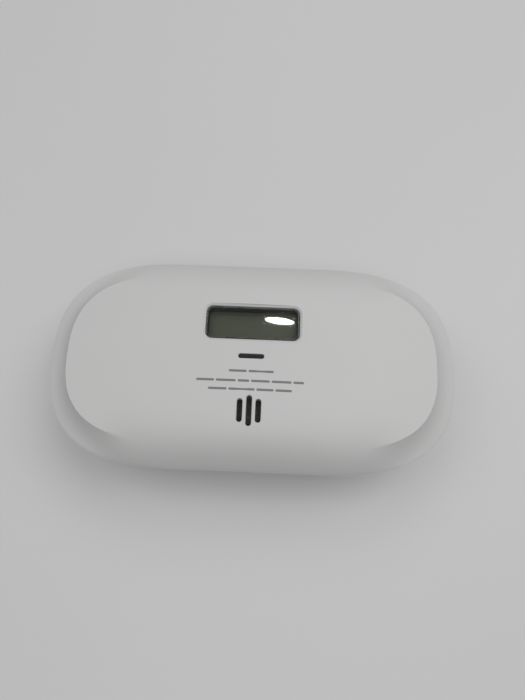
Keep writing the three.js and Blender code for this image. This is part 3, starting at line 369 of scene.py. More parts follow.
DISPLAY = Cell("display_cell", (0.082, 0.084, 0.056), (0.074, 0.076, 0.05))

# What each of the record's slots is finished in, on the nodes that keep their own shape.
FINISHES: dict[str, Finish] = {
    "white_housing": WHITE,
    "black_plastic": BLACK,
    "light_guide": SMOKED,
    "contact_rubber": RUBBER,
    "cell_sleeve": SLEEVE,
    "plated_metal": METAL,
    "clear_lens": LENS,
    "display_cell": DISPLAY,
    "label_stock": Moulded("label_film", (0.5, 0.505, 0.505), (0.48, 0.485, 0.485), 0.35),
    "diffuser": Moulded("diffuser_plastic", (0.5, 0.52, 0.42), (0.47, 0.49, 0.4), 0.5),
    "pale_plastic": Moulded("natural_plastic", (0.62, 0.6, 0.54), (0.58, 0.56, 0.5), 0.4),
    "foam": Moulded("closed_cell_foam", (0.02, 0.02, 0.02), (0.03, 0.03, 0.03), 0.9, 1500.0, 0.00008),
    "dark_resin": Moulded("dark_resin", (0.018, 0.019, 0.02), (0.024, 0.025, 0.026), 0.5),
    "laminate": Moulded("board_laminate", (0.01, 0.1, 0.035), (0.012, 0.13, 0.045), 0.35, coat=0.3),
    "red_wire": Moulded("red_wire_sleeve", (0.35, 0.015, 0.01), (0.3, 0.012, 0.008), 0.4),
    "black_wire": Moulded("black_wire_sleeve", (0.012, 0.012, 0.012), (0.016, 0.016, 0.016), 0.4),
    "led_green": Moulded("green_lamp", (0.2, 0.55, 0.24), (0.18, 0.5, 0.22), 0.2, coat=0.3),
    "led_red": Moulded("red_lamp", (0.55, 0.12, 0.1), (0.5, 0.1, 0.09), 0.2, coat=0.3),
    "led_yellow": Moulded("yellow_lamp", (0.6, 0.5, 0.14), (0.55, 0.46, 0.12), 0.2, coat=0.3),
    "brass": Plated("brass", (0.66, 0.48, 0.2), (0.5, 0.36, 0.15)),
}


# ---------------------------------------------------------------- modelling by operators


class Bench:
    """The modelling operators, with their selections made in code."""

    MERGE = 1e-7  # points nearer than this are one point

    @staticmethod
    def clear() -> None:
        """Deselects everything."""
        for each in bpy.context.view_layer.objects:
            each.select_set(False)

    @classmethod
    def only(cls, piece: bpy.types.Object) -> None:
        """Makes one piece the active and only selected one."""
        cls.clear()
        piece.select_set(True)
        bpy.context.view_layer.objects.active = piece

    @classmethod
    def sheet(cls, name: str, rings: Sequence[Sequence[Point]]) -> bpy.types.Object:
        """A grid wrapped into a closed skin. Each row is one ring, and the end rings are single points.

        Args:
            name: the piece's name.
            rings: rings of points, all the same length, that run the same way round.

        Returns:
            The closed piece, with its normals outwards.
        """
        rows, columns = len(rings), len(rings[0])
        cls.clear()
        bpy.ops.mesh.primitive_grid_add(x_subdivisions=columns, y_subdivisions=rows - 1, size=1)
        piece = bpy.context.active_object
        piece.name = name
        piece.data.name = name
        wrapped = [(*ring, ring[0]) for ring in rings]
        flat = [value for ring in wrapped for point in ring for value in point]
        piece.data.vertices.foreach_set("co", flat)
        piece.data.update()
        bpy.ops.object.mode_set(mode="EDIT")
        bpy.ops.mesh.select_all(action="SELECT")
        bpy.ops.mesh.remove_doubles(threshold=cls.MERGE)
        bpy.ops.mesh.normals_make_consistent(inside=False)
        bpy.ops.object.mode_set(mode="OBJECT")
        return piece

    @classmethod
    def combine(cls, pieces: Sequence[bpy.types.Object], name: str) -> bpy.types.Object:
        """Joins separate shapes into one object, as they are.

        Args:
            pieces: shapes that don't touch each other.
            name: the joined object's name.

        Returns:
            The joined object.
        """
        cls.only(pieces[0])
        for each in pieces:
            each.select_set(True)
        if len(pieces) > 1:
            bpy.ops.object.join()
        pieces[0].name = name
        pieces[0].data.name = name
        return pieces[0]

    @classmethod
    def capped(cls, name: str, rings: Sequence[Sequence[Point]]) -> bpy.types.Object:
        """A closed skin round open rings, with a cap at each end that runs in to its ring's middle.

        Args:
            name: the piece's name.
            rings: rings of points, all the same length, that run the same way round.

        Returns:
            The closed piece.
        """

        def pole(ring: Sequence[Point]) -> list[Point]:
            """A ring shrunk to its middle."""
            return [tuple(sum(values) / len(ring) for values in zip(*ring))] * len(ring)

        return cls.sheet(name, [pole(rings[0]), *rings, pole(rings[-1])])

    @classmethod
    def cut(
        cls, piece: bpy.types.Object, cutters: Sequence[bpy.types.Object], join: bool = False
    ) -> None:
        """Cuts shapes out of a piece, or joins them to it, and removes them.

        Args:
            piece: what is cut.
            cutters: closed shapes that don't touch each other.
            join: whether they are added instead.
        """
        cutter = cls.combine(cutters, "cutter")
        cls.only(piece)
        modifier = piece.modifiers.new("cut", "BOOLEAN")
        modifier.operation = "UNION" if join else "DIFFERENCE"
        modifier.solver = "EXACT"
        modifier.object = cutter
        bpy.ops.object.modifier_apply(modifier=modifier.name)
        bpy.data.objects.remove(cutter)

    @classmethod
    def smooth(cls, piece: bpy.types.Object, degrees: float = 30.0) -> None:
        """Shades a piece smooth, except across sharp edges, with its flat faces kept flat."""
        cls.only(piece)
        bpy.ops.object.shade_smooth_by_angle(angle=math.radians(degrees))
        modifier = piece.modifiers.new("flat_faces", "WEIGHTED_NORMAL")
        modifier.keep_sharp = True
        bpy.ops.object.modifier_apply(modifier=modifier.name)

    @classmethod
    def bevel(cls, piece: bpy.types.Object, width: float, segments: int) -> None:
        """Rounds a piece's sharp edges."""
        cls.only(piece)
        modifier = piece.modifiers.new("rounding", "BEVEL")
        modifier.width = width
        modifier.segments = segments
        modifier.limit_method = "ANGLE"
        modifier.angle_limit = math.radians(40.0)
        modifier.harden_normals = False
        bpy.ops.object.modifier_apply(modifier=modifier.name)

    @classmethod
    def drum(
        cls, name: str, radius: float, low: float, high: float, at: Flat, steps: int = ROUND_STEPS
    ) -> bpy.types.Object:
        """A cylinder between two heights, its place in its mesh."""
        cls.clear()
        middle = (*at, (low + high) / 2)
        bpy.ops.mesh.primitive_cylinder_add(
            vertices=steps, radius=radius, depth=high - low, location=middle
        )
        return cls.settle(name)

    @classmethod
    def rod(cls, name: str, radius: float, length: float, at: Point) -> bpy.types.Object:
        """A cylinder along X, its place in its mesh."""
        cls.clear()
        bpy.ops.mesh.primitive_cylinder_add(
            vertices=ROUND_STEPS,
            radius=radius,
            depth=length,
            location=at,
            rotation=(0.0, QUARTER_TURN, 0.0),
        )
        return cls.settle(name)

    @classmethod
    def block(cls, name: str, at: Flat, half: Flat, low: float, high: float) -> bpy.types.Object:
        """A box, its place in its mesh.

        Args:
            name: its name.
            at: its middle, from above.
            half: half its length and half its width.
            low: height of its underside.
            high: height of its top.

        Returns:
            The box.
        """
        cls.clear()
        size = (2 * half[0], 2 * half[1], high - low)
        bpy.ops.mesh.primitive_cube_add(size=1, location=(*at, (low + high) / 2), scale=size)
        return cls.settle(name)

    @classmethod
    def settle(cls, name: str) -> bpy.types.Object:
        """Names the active object and moves its place into its mesh."""
        piece = bpy.context.active_object
        piece.name = name
        piece.data.name = name
        bpy.ops.object.transform_apply(location=True, rotation=True, scale=True)
        return piece

    @staticmethod
    def finish(
        piece: bpy.types.Object, finish: bpy.types.Material, body: str, slot: str, *nodes: str
    ) -> None:
        """Gives a piece its finish, its body and the nodes that it stands for.

        Args:
            piece: the finished piece.
            finish: its material.
            body: the body that it rides on.
            slot: not used.
            nodes: the nodes that it replaces.
        """
        piece.data.materials.clear()
        piece.data.materials.append(finish)
        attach(piece, body)
        if nodes:
            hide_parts(*nodes)
        log.info("%s: %d faces, rides on %s", piece.name, len(piece.data.polygons), body)


# ---------------------------------------------------------------- outlines


def quarter(steps: int) -> list[Flat]:
    """A quarter round from one flat to the next.

    Args:
        steps: how many steps it takes.

    Returns:
        At each step, how far it is from its end and how far from its start, in radii.
    """
    angles = (QUARTER_TURN * step / steps for step in range(steps + 1))
    return [(1 - math.sin(angle), 1 - math.cos(angle)) for angle in angles]


def circle(radius: float, steps: int) -> list[Flat]:
    """The points of a circle about the origin.

    Args:
        radius: its radius.
        steps: how many points it has.

    Returns:
        Its points, counter-clockwise.
    """
    angles = (2 * math.pi * step / steps for step in range(steps))
    return [(radius * math.cos(angle), radius * math.sin(angle)) for angle in angles]


def rounded(size: Flat, corner: float, at: Flat, arc: int = 10) -> list[Flat]:
    """The outline of a rectangle with round corners, counter-clockwise.

    Args:
        size: its size along the two axes.
        corner: radius of its corners.
        at: its middle.
        arc: steps on each corner.

    Returns:
        Its points.
    """
    points = []
    for turn, (sx, sy) in enumerate(((1, 1), (-1, 1), (-1, -1), (1, -1))):
        centre = (at[0] + sx * (size[0] / 2 - corner), at[1] + sy * (size[1] / 2 - corner))
        for step in range(arc + 1):
            angle = QUARTER_TURN * (turn + step / arc)
            u, v = corner * math.cos(angle), corner * math.sin(angle)
            points.append((centre[0] + u, centre[1] + v))
    return points


# ---------------------------------------------------------------- the housing's own surface


@dataclass
class Surface:
    """The alarm's outline and face, worked out from the frame's boxes and its own few proportions."""

    end_reach: float = 45.0 * MM  # how far each rounded end reaches along X
    end_shape: float = 2.64  # superellipse power of the ends
    rim_drop: float = 11.5 * MM  # from the middle of the face down to the widest line
    bow: float = 5.2 * MM  # how far the face falls from its middle to its ends
    side_fall: float = 1.6 * MM
    roll_power: float = 4.8  # how late the face rolls over towards the long edges
    crease_inset: float = 7.6 * MM  # width of the coved band
    foot_slope: float = 0.4
    head_slope: float = 1.7
    fade_start: float = 36.0 * MM  # the crease begins to show this far from the middle
    fade_end: float = 54.0 * MM
    land: float = 0.9 * MM  # upright band at the widest line
    skirt_drop: float = 3.0 * MM
    skirt_inset: float = 1.4 * MM
    seam: float = 0.3 * MM  # between the cover and the housing
    back_inset: float = 6.5 * MM
    wall: float = 2.2 * MM
    ink: float = 0.012 * MM  # the face is this much lower, so that its marks stay inside the frame's box
    end_steps: int = 40
    straight_steps: int = 28
    half_length: float = field(init=False)
    half_height: float = field(init=False)
    straight: float = field(init=False)
    depth: float = field(init=False)
    rim: float = field(init=False)
    skirt: float = field(init=False)
    rear_top: float = field(init=False)
    back: float = field(init=False)
    stations: list[Point] = field(init=False)

    def __post_init__(self) -> None:
        """Takes the overall sizes and levels from the frame."""
        cover_low, cover_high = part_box("front_cover")
        rear_low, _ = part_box("rear_housing")
        self.half_length = cover_high.x
        self.half_height = cover_high.y
        self.depth = cover_high.z - self.ink
        self.back = rear_low.z
        self.rim = self.depth - self.rim_drop
        self.skirt = self.rim - self.skirt_drop
        self.rear_top = self.skirt - self.seam
        self.straight = self.half_length - self.end_reach
        self.stations = self._stations()

    def _stations(self) -> list[Point]:
        """Each point of the outline: a centre along X and a direction on the end's superellipse."""
        found = []
        for side in (1, -1):
            for step in range(2 * self.end_steps + 1):
                angle = QUARTER_TURN * (step / self.end_steps - 1)
                across = abs(math.cos(angle)) ** (2 / self.end_shape)
                along = math.copysign(abs(math.sin(angle)) ** (2 / self.end_shape), math.sin(angle))
                found.append((side * self.straight, side * across, side * along))
            for step in range(1, self.straight_steps):
                share = 1 - 2 * step / self.straight_steps
                found.append((side * self.straight * share, 0.0, float(side)))
        return found

    def at(self, station: Point, inset: float) -> Flat:
        """The point of a station on the outline drawn in by an inset."""
        centre, across, along = station
        return centre + across * (self.end_reach - inset), along * (self.half_height - inset)

    def ring(self, inset: float, z: float) -> list[Point]:
        """The outline drawn in by an inset, at a height."""
        return [(*self.at(station, inset), z) for station in self.stations]

    def rim_half_height(self, x: float) -> float:
        """How far from the middle line the widest outline is, at a place along X."""
        reach = min(max((abs(x) - self.straight) / self.end_reach, 0.0), 1.0)
        return self.half_height * (1 - reach**self.end_shape) ** (1 / self.end_shape)

    def crease_share(self, x: float) -> float:
        """0 where the face rolls smoothly to the rim, 1 where it ends in the crease."""
        t = min(max((abs(x) - self.fade_start) / (self.fade_end - self.fade_start), 0.0), 1.0)
        return t * t * (3 - 2 * t)

    def ridge(self, x: float) -> float:
        """The face's height on the middle line."""
        return self.depth - self.bow * (x / (self.half_length - self.crease_inset)) ** 2

    def domed(self, x: float, y: float) -> float:
        """The face's height inside the crease."""
        return self.ridge(x) - self.side_fall * (y / self.half_height) ** 2

    def rolled(self, x: float, y: float) -> float:
        """The face's height if it rolled over to the rim everywhere."""
        share = min(abs(y) / max(self.rim_half_height(x), 1e-9), 1.0)
        return self.ridge(x) - (self.ridge(x) - self.rim) * share**self.roll_power

    def face(self, x: float, y: float) -> float:
        """The face's height."""
        share = self.crease_share(x)
        return self.rolled(x, y) * (1 - share) + self.domed(x, y) * share

    def band(self, station: Point, t: float) -> Point:
        """A point on the band between the rim (t = 0) and the crease (t = 1)."""
        rim, crease = self.at(station, 0.0), self.at(station, self.crease_inset)
        x, y = (a + (b - a) * t for a, b in zip(rim, crease))
        rise = self.domed(*crease) - self.rim
        span = math.dist(rim, crease)
        cove = (
            self.rim
            + rise * t * t * (3 - 2 * t)
            + span * self.foot_slope * t * (1 - t) ** 2
            - span * self.head_slope * t * t * (1 - t)
        )
        share = self.crease_share(x)
        return x, y, self.rolled(x, y) * (1 - share) + cove * share

    def side_inset(self, z: float) -> float:
        """How far the rear housing's side is drawn in at a height."""
        t = (z - self.back) / (self.rear_top - self.back)
        return self.back_inset + (self.skirt_inset - self.back_inset) * t


# ---------------------------------------------------------------- shapes that several pieces share


def middle_of(node: str) -> Point:
    """The middle of a node's box."""
    low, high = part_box(node)
    return tuple((low + high) / 2)


def size_of(node: str) -> Flat:
    """The size of a node's box, from above."""
    low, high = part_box(node)
    return high.x - low.x, high.y - low.y


def grown_by(size: Flat, growth: float) -> Flat:
    """A size with a growth added to each."""
    return size[0] + growth, size[1] + growth


def plate(
    name: str, size: Flat, corner: float, low: float, high: float, at: Flat, edge: float = FINE_EDGE
) -> bpy.types.Object:
    """A plate with round corners and softly rounded edges.

    Args:
        name: its name.
        size: its length and its width.
        corner: radius of its corners.
        low: height of its underside.
        high: height of its top.
        at: its middle.
        edge: radius of its edges.

    Returns:
        The closed plate.
    """
    soft = edge * (1 - math.sqrt(0.5))
    flat = edge + 0.1 * MM
    levels = [(low, -flat), (low, -edge), (low + soft, -soft), (low + edge, 0.0)]
    levels += [(high - edge, 0.0), (high - soft, -soft), (high, -edge), (high, -flat)]
    rings = []
    for z, growth in levels:
        outline = rounded(grown_by(size, 2 * growth), max(corner + growth, 0.01 * MM), at)
        rings.append([(x, y, z) for x, y in outline])
    return Bench.capped(name, rings)


class Lip(Enum):
    """How the edge of an opening in the face is finished."""

    ROUNDED = "rounded"
    BEVELLED = "bevelled"


@dataclass(frozen=True)
class Opening:
    """An opening through the face, with the lip that it is finished with."""

    size: Flat
    corner: float
    at: Flat
    lip: float
    shape: Lip
    deep: float = 6.0 * MM
    over: float = 1.0 * MM
    lip_steps: int = 6

    def cutter(self, surface: Surface) -> bpy.types.Object:
        """A cutter down through the face, flared at the surface.

        Args:
            surface: the face's surface.

        Returns:
            The cutter.
        """

        def ring(growth: float, drop: float) -> list[Point]:
            """The opening's outline, grown, at a depth under the face."""
            points = rounded(grown_by(self.size, 2 * growth), self.corner + growth, self.at)
            return [(x, y, surface.face(x, y) - drop) for x, y in points]

        lip = self.lip
        rings = [ring(0.0, self.deep)]
        if self.shape is Lip.BEVELLED:
            rings += [ring(0.0, lip * 0.7), ring(lip * 0.1, lip * 0.55), ring(lip, 0.0)]
        else:
            rings += [ring(lip * grown, lip * left) for left, grown in quarter(self.lip_steps)]
        rings.append(ring(lip * 1.05, -self.over))
        return Bench.capped("opening", rings)


@dataclass(frozen=True)
class Hooks:
    """The bracket's four hooks, which the housing's keyholes take."""

    xs: Flat = (18.0 * MM, -18.0 * MM)
    ys: Flat = (11.0 * MM, -9.0 * MM)
    stem: Flat = (0.9 * MM, 1.3 * MM)
    toe: Flat = (3.0 * MM, 1.3 * MM)

    def places(self) -> list[Flat]:
        """The middle of each hook."""
        return [(x, y) for x in self.xs for y in self.ys]


HOOKS = Hooks()


# ---------------------------------------------------------------- casing


@dataclass
class FrontCover:
    """The one-piece sculpted face, with its window, light slot and sound slots."""

    surface: Surface
    window: Opening = Opening((30.5 * MM, 11.2 * MM), 2.3 * MM, (0.0, 11.25 * MM), 0.75 * MM, Lip.BEVELLED)
    light_slot: Opening = Opening((8.2 * MM, 1.5 * MM), 0.7 * MM, (0.0, 0.0), 0.22 * MM, Lip.ROUNDED)
    sound_width: float = 1.75 * MM
    sound_pitch: float = 2.9 * MM
    sound_lengths: tuple[float, ...] = (7.2 * MM, 9.4 * MM, 7.2 * MM)
    sound_y: float = -17.2 * MM
    sound_corner: float = 0.85 * MM
    face_steps: int = 34
    face_spread: float = 0.8  # below 1, the face's rings are closer together towards the crease
    band_steps: int = 22
    inner_band: tuple[float, ...] = (0.0, 0.3, 0.55, 0.8, 1.0)
    inner_face: tuple[float, ...] = (0.88, 0.7, 0.4, 0.2)
    rim_wall: float = 0.4  # the wall's upright share of its thickness at the rim, where it leans most
    rim_round: float = 0.225 * MM
    mark_height: float = 0.75 * MM
    mark_space: float = 0.62 * MM
    mark_corner: float = 0.28 * MM
    mark_root: float = 0.05 * MM

    def _outer(self) -> list[list[Point]]:
        """The rings of the outside, from the middle of the face down to the skirt."""
        surface = self.surface
        rings = []
        for step in range(1, self.face_steps):
            share = (step / self.face_steps) ** self.face_spread
            flat = [[v * share for v in surface.at(s, surface.crease_inset)] for s in surface.stations]
            rings.append([(x, y, surface.face(x, y)) for x, y in flat])
        for step in range(self.band_steps):
            t = 1 - step / self.band_steps
            rings.append([surface.band(station, t) for station in surface.stations])
        for inset, drop in quarter(3):
            rings.append(surface.ring(self.rim_round * inset, surface.rim - self.rim_round * drop))
        edge = surface.rim - surface.land
        rings.append(surface.ring(0.0, edge))
        for t in (0.25, 0.5, 0.75, 1.0):
            rings.append(surface.ring(surface.skirt_inset * t, edge + (surface.skirt - edge) * t))
        return rings

    def _inner(self) -> list[list[Point]]:
        """The rings of the inside, from the skirt up to the middle of the face."""
        surface = self.surface
        wall = surface.wall
        rings = [surface.ring(surface.skirt_inset + wall, surface.skirt)]
        for t in self.inner_band:
            drop = wall * (self.rim_wall + (1 - self.rim_wall) * t)
            ring = []
            for station in surface.stations:
                _, _, z = surface.band(station, t)
                ring.append((*surface.at(station, wall + t * surface.crease_inset), z - drop))
            rings.append(ring)
        for share in self.inner_face:
            ring = []
            for station in surface.stations:
                x, y = (v * share for v in surface.at(station, surface.crease_inset))
                inner = (v * share for v in surface.at(station, wall + surface.crease_inset))
                ring.append((*inner, surface.face(x, y) - wall))
            rings.append(ring)
        return rings

    def _sound_slots(self) -> list[Opening]:
        """The upright slots over the sounder."""
        slots = []
        for index, length in enumerate(self.sound_lengths):
            at = ((index - 1) * self.sound_pitch, self.sound_y)
            size = (self.sound_width, length)
            slots.append(Opening(size, self.sound_corner, at, self.light_slot.lip, Lip.ROUNDED))
        return slots

    def build(self) -> None:
        """Models, cuts and dresses the cover."""
        surface = self.surface
        count = len(surface.stations)
        top = [(0.0, 0.0, surface.depth)] * count
        under = [(0.0, 0.0, surface.depth - surface.wall)] * count
        shell = Bench.sheet("front_shell", [top, *self._outer(), *self._inner(), under])
        openings = (self.window, self.light_slot, *self._sound_slots())
        Bench.cut(shell, [opening.cutter(surface) for opening in openings])
        Bench.smooth(shell, 28.0)
        Bench.finish(shell, WHITE.material(), "housing", "white_housing", "front_cover")
        self._markings()

    def _markings(self) -> None:
        """Three rows of plain grey dashes, where such an alarm carries small print."""
        rows = (
            (-4.9 * MM, -6.8 * MM, (5.6, 7.9)),
            (-8.0 * MM, -16.9 * MM, (5.6, 6.2, 3.6, 5.8, 6.2, 3.3)),
            (-10.7 * MM, -13.0 * MM, (5.8, 8.1, 5.3, 5.1)),
        )
        dashes = []
        for y, start, lengths in rows:
            x = start
            for length in lengths:
                size = length * MM
                dashes.append(self._dash((x + size / 2, y), (size, self.mark_height)))
                x += size + self.mark_space
        marks = Bench.combine(dashes, "face_markings")
        Bench.finish(marks, MARKING.material(), "housing", "black_plastic")

    def _dash(self, at: Flat, size: Flat) -> bpy.types.Object:
        """One dash, a film that follows the face."""
        outline = rounded(size, self.mark_corner, at, arc=4)

        def ring(share: float, rise: float) -> list[Point]:
            """The dash's outline drawn towards its middle, at a height over the face."""
            points = [(at[0] + (x - at[0]) * share, at[1] + (y - at[1]) * share) for x, y in outline]
            return [(x, y, self.surface.face(x, y) + rise) for x, y in points]

        film = [ring(share, self.surface.ink) for share in (1.0, 0.75, 0.5, 0.25, 0.0)]
        return Bench.sheet("dash", [ring(0.0, -self.mark_root), ring(1.0, -self.mark_root), *film])


@dataclass
class RearHousing:
    """The back shell: battery bay, screw wells, keyholes, label recess, vents and the button's opening."""

    surface: Surface
    back_round: float = 2.0 * MM
    edge_round: float = 0.25 * MM
    wall_steps: int = 8
    tongue_inset: float = 3.9 * MM
    tongue_wall: float = 1.5 * MM
    tongue_rise: float = 1.6 * MM
    tongue_root: Flat = (3.0 * MM, 1.5 * MM)  # where the wall begins to thicken, and where it is full
    bay_wall: float = 2.4 * MM
    bay_roof: float = 1.2 * MM
    cell_space: float = 0.6 * MM
    door_step: float = 0.55 * MM  # from the door's end in to the bay's
    door_ledge: float = 1.2 * MM
    door_recess: float = 2.35 * MM
    label_recess: float = 0.6 * MM
    pin_inset: float = 1.0 * MM
    pin_reach: float = 1.4 * MM
    socket_radius: float = 0.9 * MM
    throat_half: float = 0.54 * MM
    boss_radius: float = 3.6 * MM
    boss_top: float = 6.9 * MM
    screw_seat: float = 5.5 * MM
    head_bore: float = 2.6 * MM
    shank_bore: float = 1.5 * MM
    bore_mouth: float = 0.3 * MM
    bore_length: float = 3.0 * MM
    running_gap: float = 0.35 * MM
    over: float = 1.0 * MM
    travel: float = 6.0 * MM
    vent_count: int = 9
    vent_pitch: float = 4.0 * MM
    vent: Flat = (1.7 * MM, 6.0 * MM)
    vent_z: float = 12.0 * MM
    vent_from: float = -26.0 * MM
    button_hole: Flat = (25.7 * MM, 6.1 * MM)
    button_from: float = 26.0 * MM

    def _skin(self) -> bpy.types.Object:
        """The shell's walls, from the inside of the floor round to the back."""
        surface = self.surface
        floor, top = surface.back + surface.wall, surface.rear_top
        low = floor + self.back_round
        throat = self.tongue_inset + self.tongue_wall
        root, full = (top - drop for drop in self.tongue_root)
        levels = [
            (floor, surface.side_inset(floor) + surface.wall + self.back_round / 2),
            (low, surface.side_inset(low) + surface.wall),
            (root, surface.side_inset(root) + surface.wall),
            (full, throat),
            (top + self.tongue_rise, throat),
            (top + self.tongue_rise, self.tongue_inset),
            (top, self.tongue_inset),
            (top, surface.skirt_inset + self.edge_round),
            (top - self.edge_round, surface.skirt_inset + self.edge_round * 0.1),
        ]
        edge, bend = top - self.edge_round, surface.back + self.back_round
        for step in range(1, self.wall_steps + 1):
            z = edge + (bend - edge) * step / self.wall_steps
            levels.append((z, surface.side_inset(z)))
        for left, turned in quarter(self.wall_steps)[1:]:
            z = surface.back + self.back_round * left
            levels.append((z, surface.side_inset(z) + self.back_round * turned))
        return Bench.capped("rear_shell", [surface.ring(inset, z) for z, inset in levels])

    def _well(self, index: int) -> bpy.types.Object:
        """The stepped recess that takes a case screw's head, with a soft mouth."""
        x, y, _ = middle_of(f"case_screw_{index}")
        back = self.surface.back
        seat = back + self.screw_seat
        levels = (
            (back - self.over, self.head_bore + self.bore_mouth),
            (back, self.head_bore + self.bore_mouth),
            (back + self.bore_mouth, self.head_bore),
            (seat, self.head_bore),
            (seat, self.shank_bore),
            (seat + self.bore_length, self.shank_bore),
        )
        rings = [[(x + u, y + v, z) for u, v in circle(radius, ROUND_STEPS)] for z, radius in levels]
        return Bench.capped("well", rings)

    def _boss(self, index: int) -> bpy.types.Object:
        """The boss round a case screw."""
        back = self.surface.back
        at = middle_of(f"case_screw_{index}")[:2]
        return Bench.drum("boss", self.boss_radius, back + MM, back + self.boss_top, at)

    def _keyhole(self, at: Flat) -> list[bpy.types.Object]:
        """The wide and the narrow part of one hook's keyhole."""
        low, high = self.surface.back - self.over, self.surface.back + self.surface.wall + self.over
        x, y = at
        entry = grown_by(HOOKS.toe, self.running_gap)
        width, reach = grown_by(HOOKS.stem, self.running_gap)
        neck_at = (x, y + (reach - self.travel) / 2)
        return [
            Bench.block("entry", (x, y - self.travel), entry, low, high),
            Bench.block("neck", neck_at, (width, (reach + self.travel) / 2), low, high),
        ]

    @staticmethod
    def _slot_through(size: Flat, at: Flat, near: float, far: float, arc: int) -> bpy.types.Object:
        """A cutter with round ends through a side wall.

        Args:
            size: its length along X and its height.
            at: its middle, along X and in height.
            near: where it begins along Y.
            far: where it ends along Y.
            arc: steps on each corner.

        Returns:
            The cutter.
        """
        points = rounded(size, min(size) / 2 - FINE_EDGE, at, arc)
        return Bench.capped("slot", [[(x, y, z) for x, z in points] for y in (near, far)])

    def _vents(self) -> list[bpy.types.Object]:
        """The slots through the lower side wall."""
        far = -self.surface.half_height
        middle = (self.vent_count - 1) / 2
        places = [((index - middle) * self.vent_pitch, self.vent_z) for index in range(self.vent_count)]
        return [self._slot_through(self.vent, at, self.vent_from, far, arc=5) for at in places]

    def build(self) -> None:
        """Models, cuts and dresses the housing."""
        surface = self.surface
        back = surface.back
        low = back - self.over
        _, door_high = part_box("battery_door")
        cell_low, cell_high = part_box("battery")
        bay_at = ((cell_low.x + cell_high.x) / 2, 0.0)
        bay = ((cell_high.x - cell_low.x) / 2 + self.cell_space, door_high.y - self.door_step)
        bay_top = cell_high.z + self.cell_space
        skin = self._skin()
        walls = Bench.block("bay", bay_at, grown_by(bay, self.bay_wall), back + MM, bay_top + self.bay_roof)
        Bench.cut(skin, [walls], join=True)
        for pair in ((1, 3), (2, 4)):
            Bench.cut(skin, [self._boss(index) for index in pair], join=True)
        Bench.cut(skin, [Bench.block("hollow", bay_at, bay, low, bay_top)])
        ledge = bay[0] + self.door_ledge
        door = (2 * (ledge + self.running_gap), 2 * (door_high.y + self.running_gap))
        label = grown_by(size_of("rating_label"), self.label_recess)
        label_at = (middle_of("rating_label")[0], 0.0)
        recesses = [
            plate("door_recess", door, MM, low, back + self.door_recess, bay_at),
            plate("label_recess", label, MM, low, back + self.label_recess, label_at),
        ]
        Bench.cut(skin, [*recesses, *(self._well(index) for index in range(1, 5))])
        pin_y, pin_z = door_high.y - self.pin_inset, back + self.pin_inset
        reach = ledge + self.pin_reach
        pin_at = (bay_at[0], pin_y)
        Bench.cut(skin, [Bench.rod("socket", self.socket_radius, 2 * reach, (*pin_at, pin_z))])
        Bench.cut(skin, [Bench.block("throat", pin_at, (reach, self.throat_half), low, pin_z)])
        for parts in zip(*(self._keyhole(at) for at in HOOKS.places())):
            Bench.cut(skin, parts)
        Bench.cut(skin, self._vents())
        button_at = (0.0, middle_of("test_switch_plunger")[2])
        far = surface.half_height
        hole = self._slot_through(self.button_hole, button_at, self.button_from, far, arc=14)
        Bench.cut(skin, [hole])
        Bench.smooth(skin, 28.0)
        Bench.finish(skin, WHITE_REAR.material(), "housing", "white_housing", "rear_housing")


@dataclass
class BatteryDoor:
    """The hinged door over the battery, with its two pins, its latch and a finger groove."""

    surface: Surface
    thickness: float = 2.0 * MM
    corner: float = 0.6 * MM
    edge: float = 0.3 * MM
    pin_radius: float = 0.6 * MM
    pin_length: float = 1.1 * MM
    knuckle_ease: float = 0.001 * MM  # keeps the knuckle's round from lying in the door's faces
    latch: Flat = (3.5 * MM, 0.4 * MM)
    latch_y: float = 1.25 * MM
    latch_levels: Flat = (1.7 * MM, 3.4 * MM)
    groove: Flat = (12.0 * MM, 3.0 * MM)
    groove_y: float = 4.5 * MM
    groove_depth: float = 0.8 * MM
    rib: Flat = (8.0 * MM, 0.7 * MM)
    rib_ys: tuple[float, ...] = (3.2 * MM, 4.7 * MM, 6.2 * MM)
    rib_depth: float = 0.35 * MM

    def build(self) -> None:
        """Models and dresses the door."""
        low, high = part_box("battery_door")
        back = self.surface.back
        x = (low.x + high.x) / 2
        width = high.x - low.x - 2 * self.pin_length
        hinge = (x, high.y - self.thickness / 2, back + self.thickness / 2)
        at = (x, (hinge[1] + low.y) / 2)
        size = (width, hinge[1] - low.y)
        door = plate("door_panel", size, self.corner, back, back + self.thickness, at, self.edge)
        latch_from, latch_to = (back + level for level in self.latch_levels)
        additions = (
            Bench.rod("knuckle", self.thickness / 2 - self.knuckle_ease, width, hinge),
            Bench.rod("pins", self.pin_radius, high.x - low.x, hinge),
            Bench.block("latch", (x, low.y + self.latch_y), self.latch, latch_from, latch_to),
        )
        for addition in additions:
            Bench.cut(door, [addition], join=True)
        groove_y = low.y + self.groove_y
        under, depth = back - MM, back + self.groove_depth
        groove = plate("groove", self.groove, 1.4 * MM, under, depth, (x, groove_y), 0.25 * MM)
        ribs = [
            plate("rib", self.rib, 0.3 * MM, under, back + self.rib_depth, (x, groove_y + y))
            for y in self.rib_ys
        ]
        Bench.cut(door, [groove, *ribs])
        Bench.smooth(door)
        Bench.finish(door, WHITE_REAR.material(), "door", "white_housing", "battery_door")


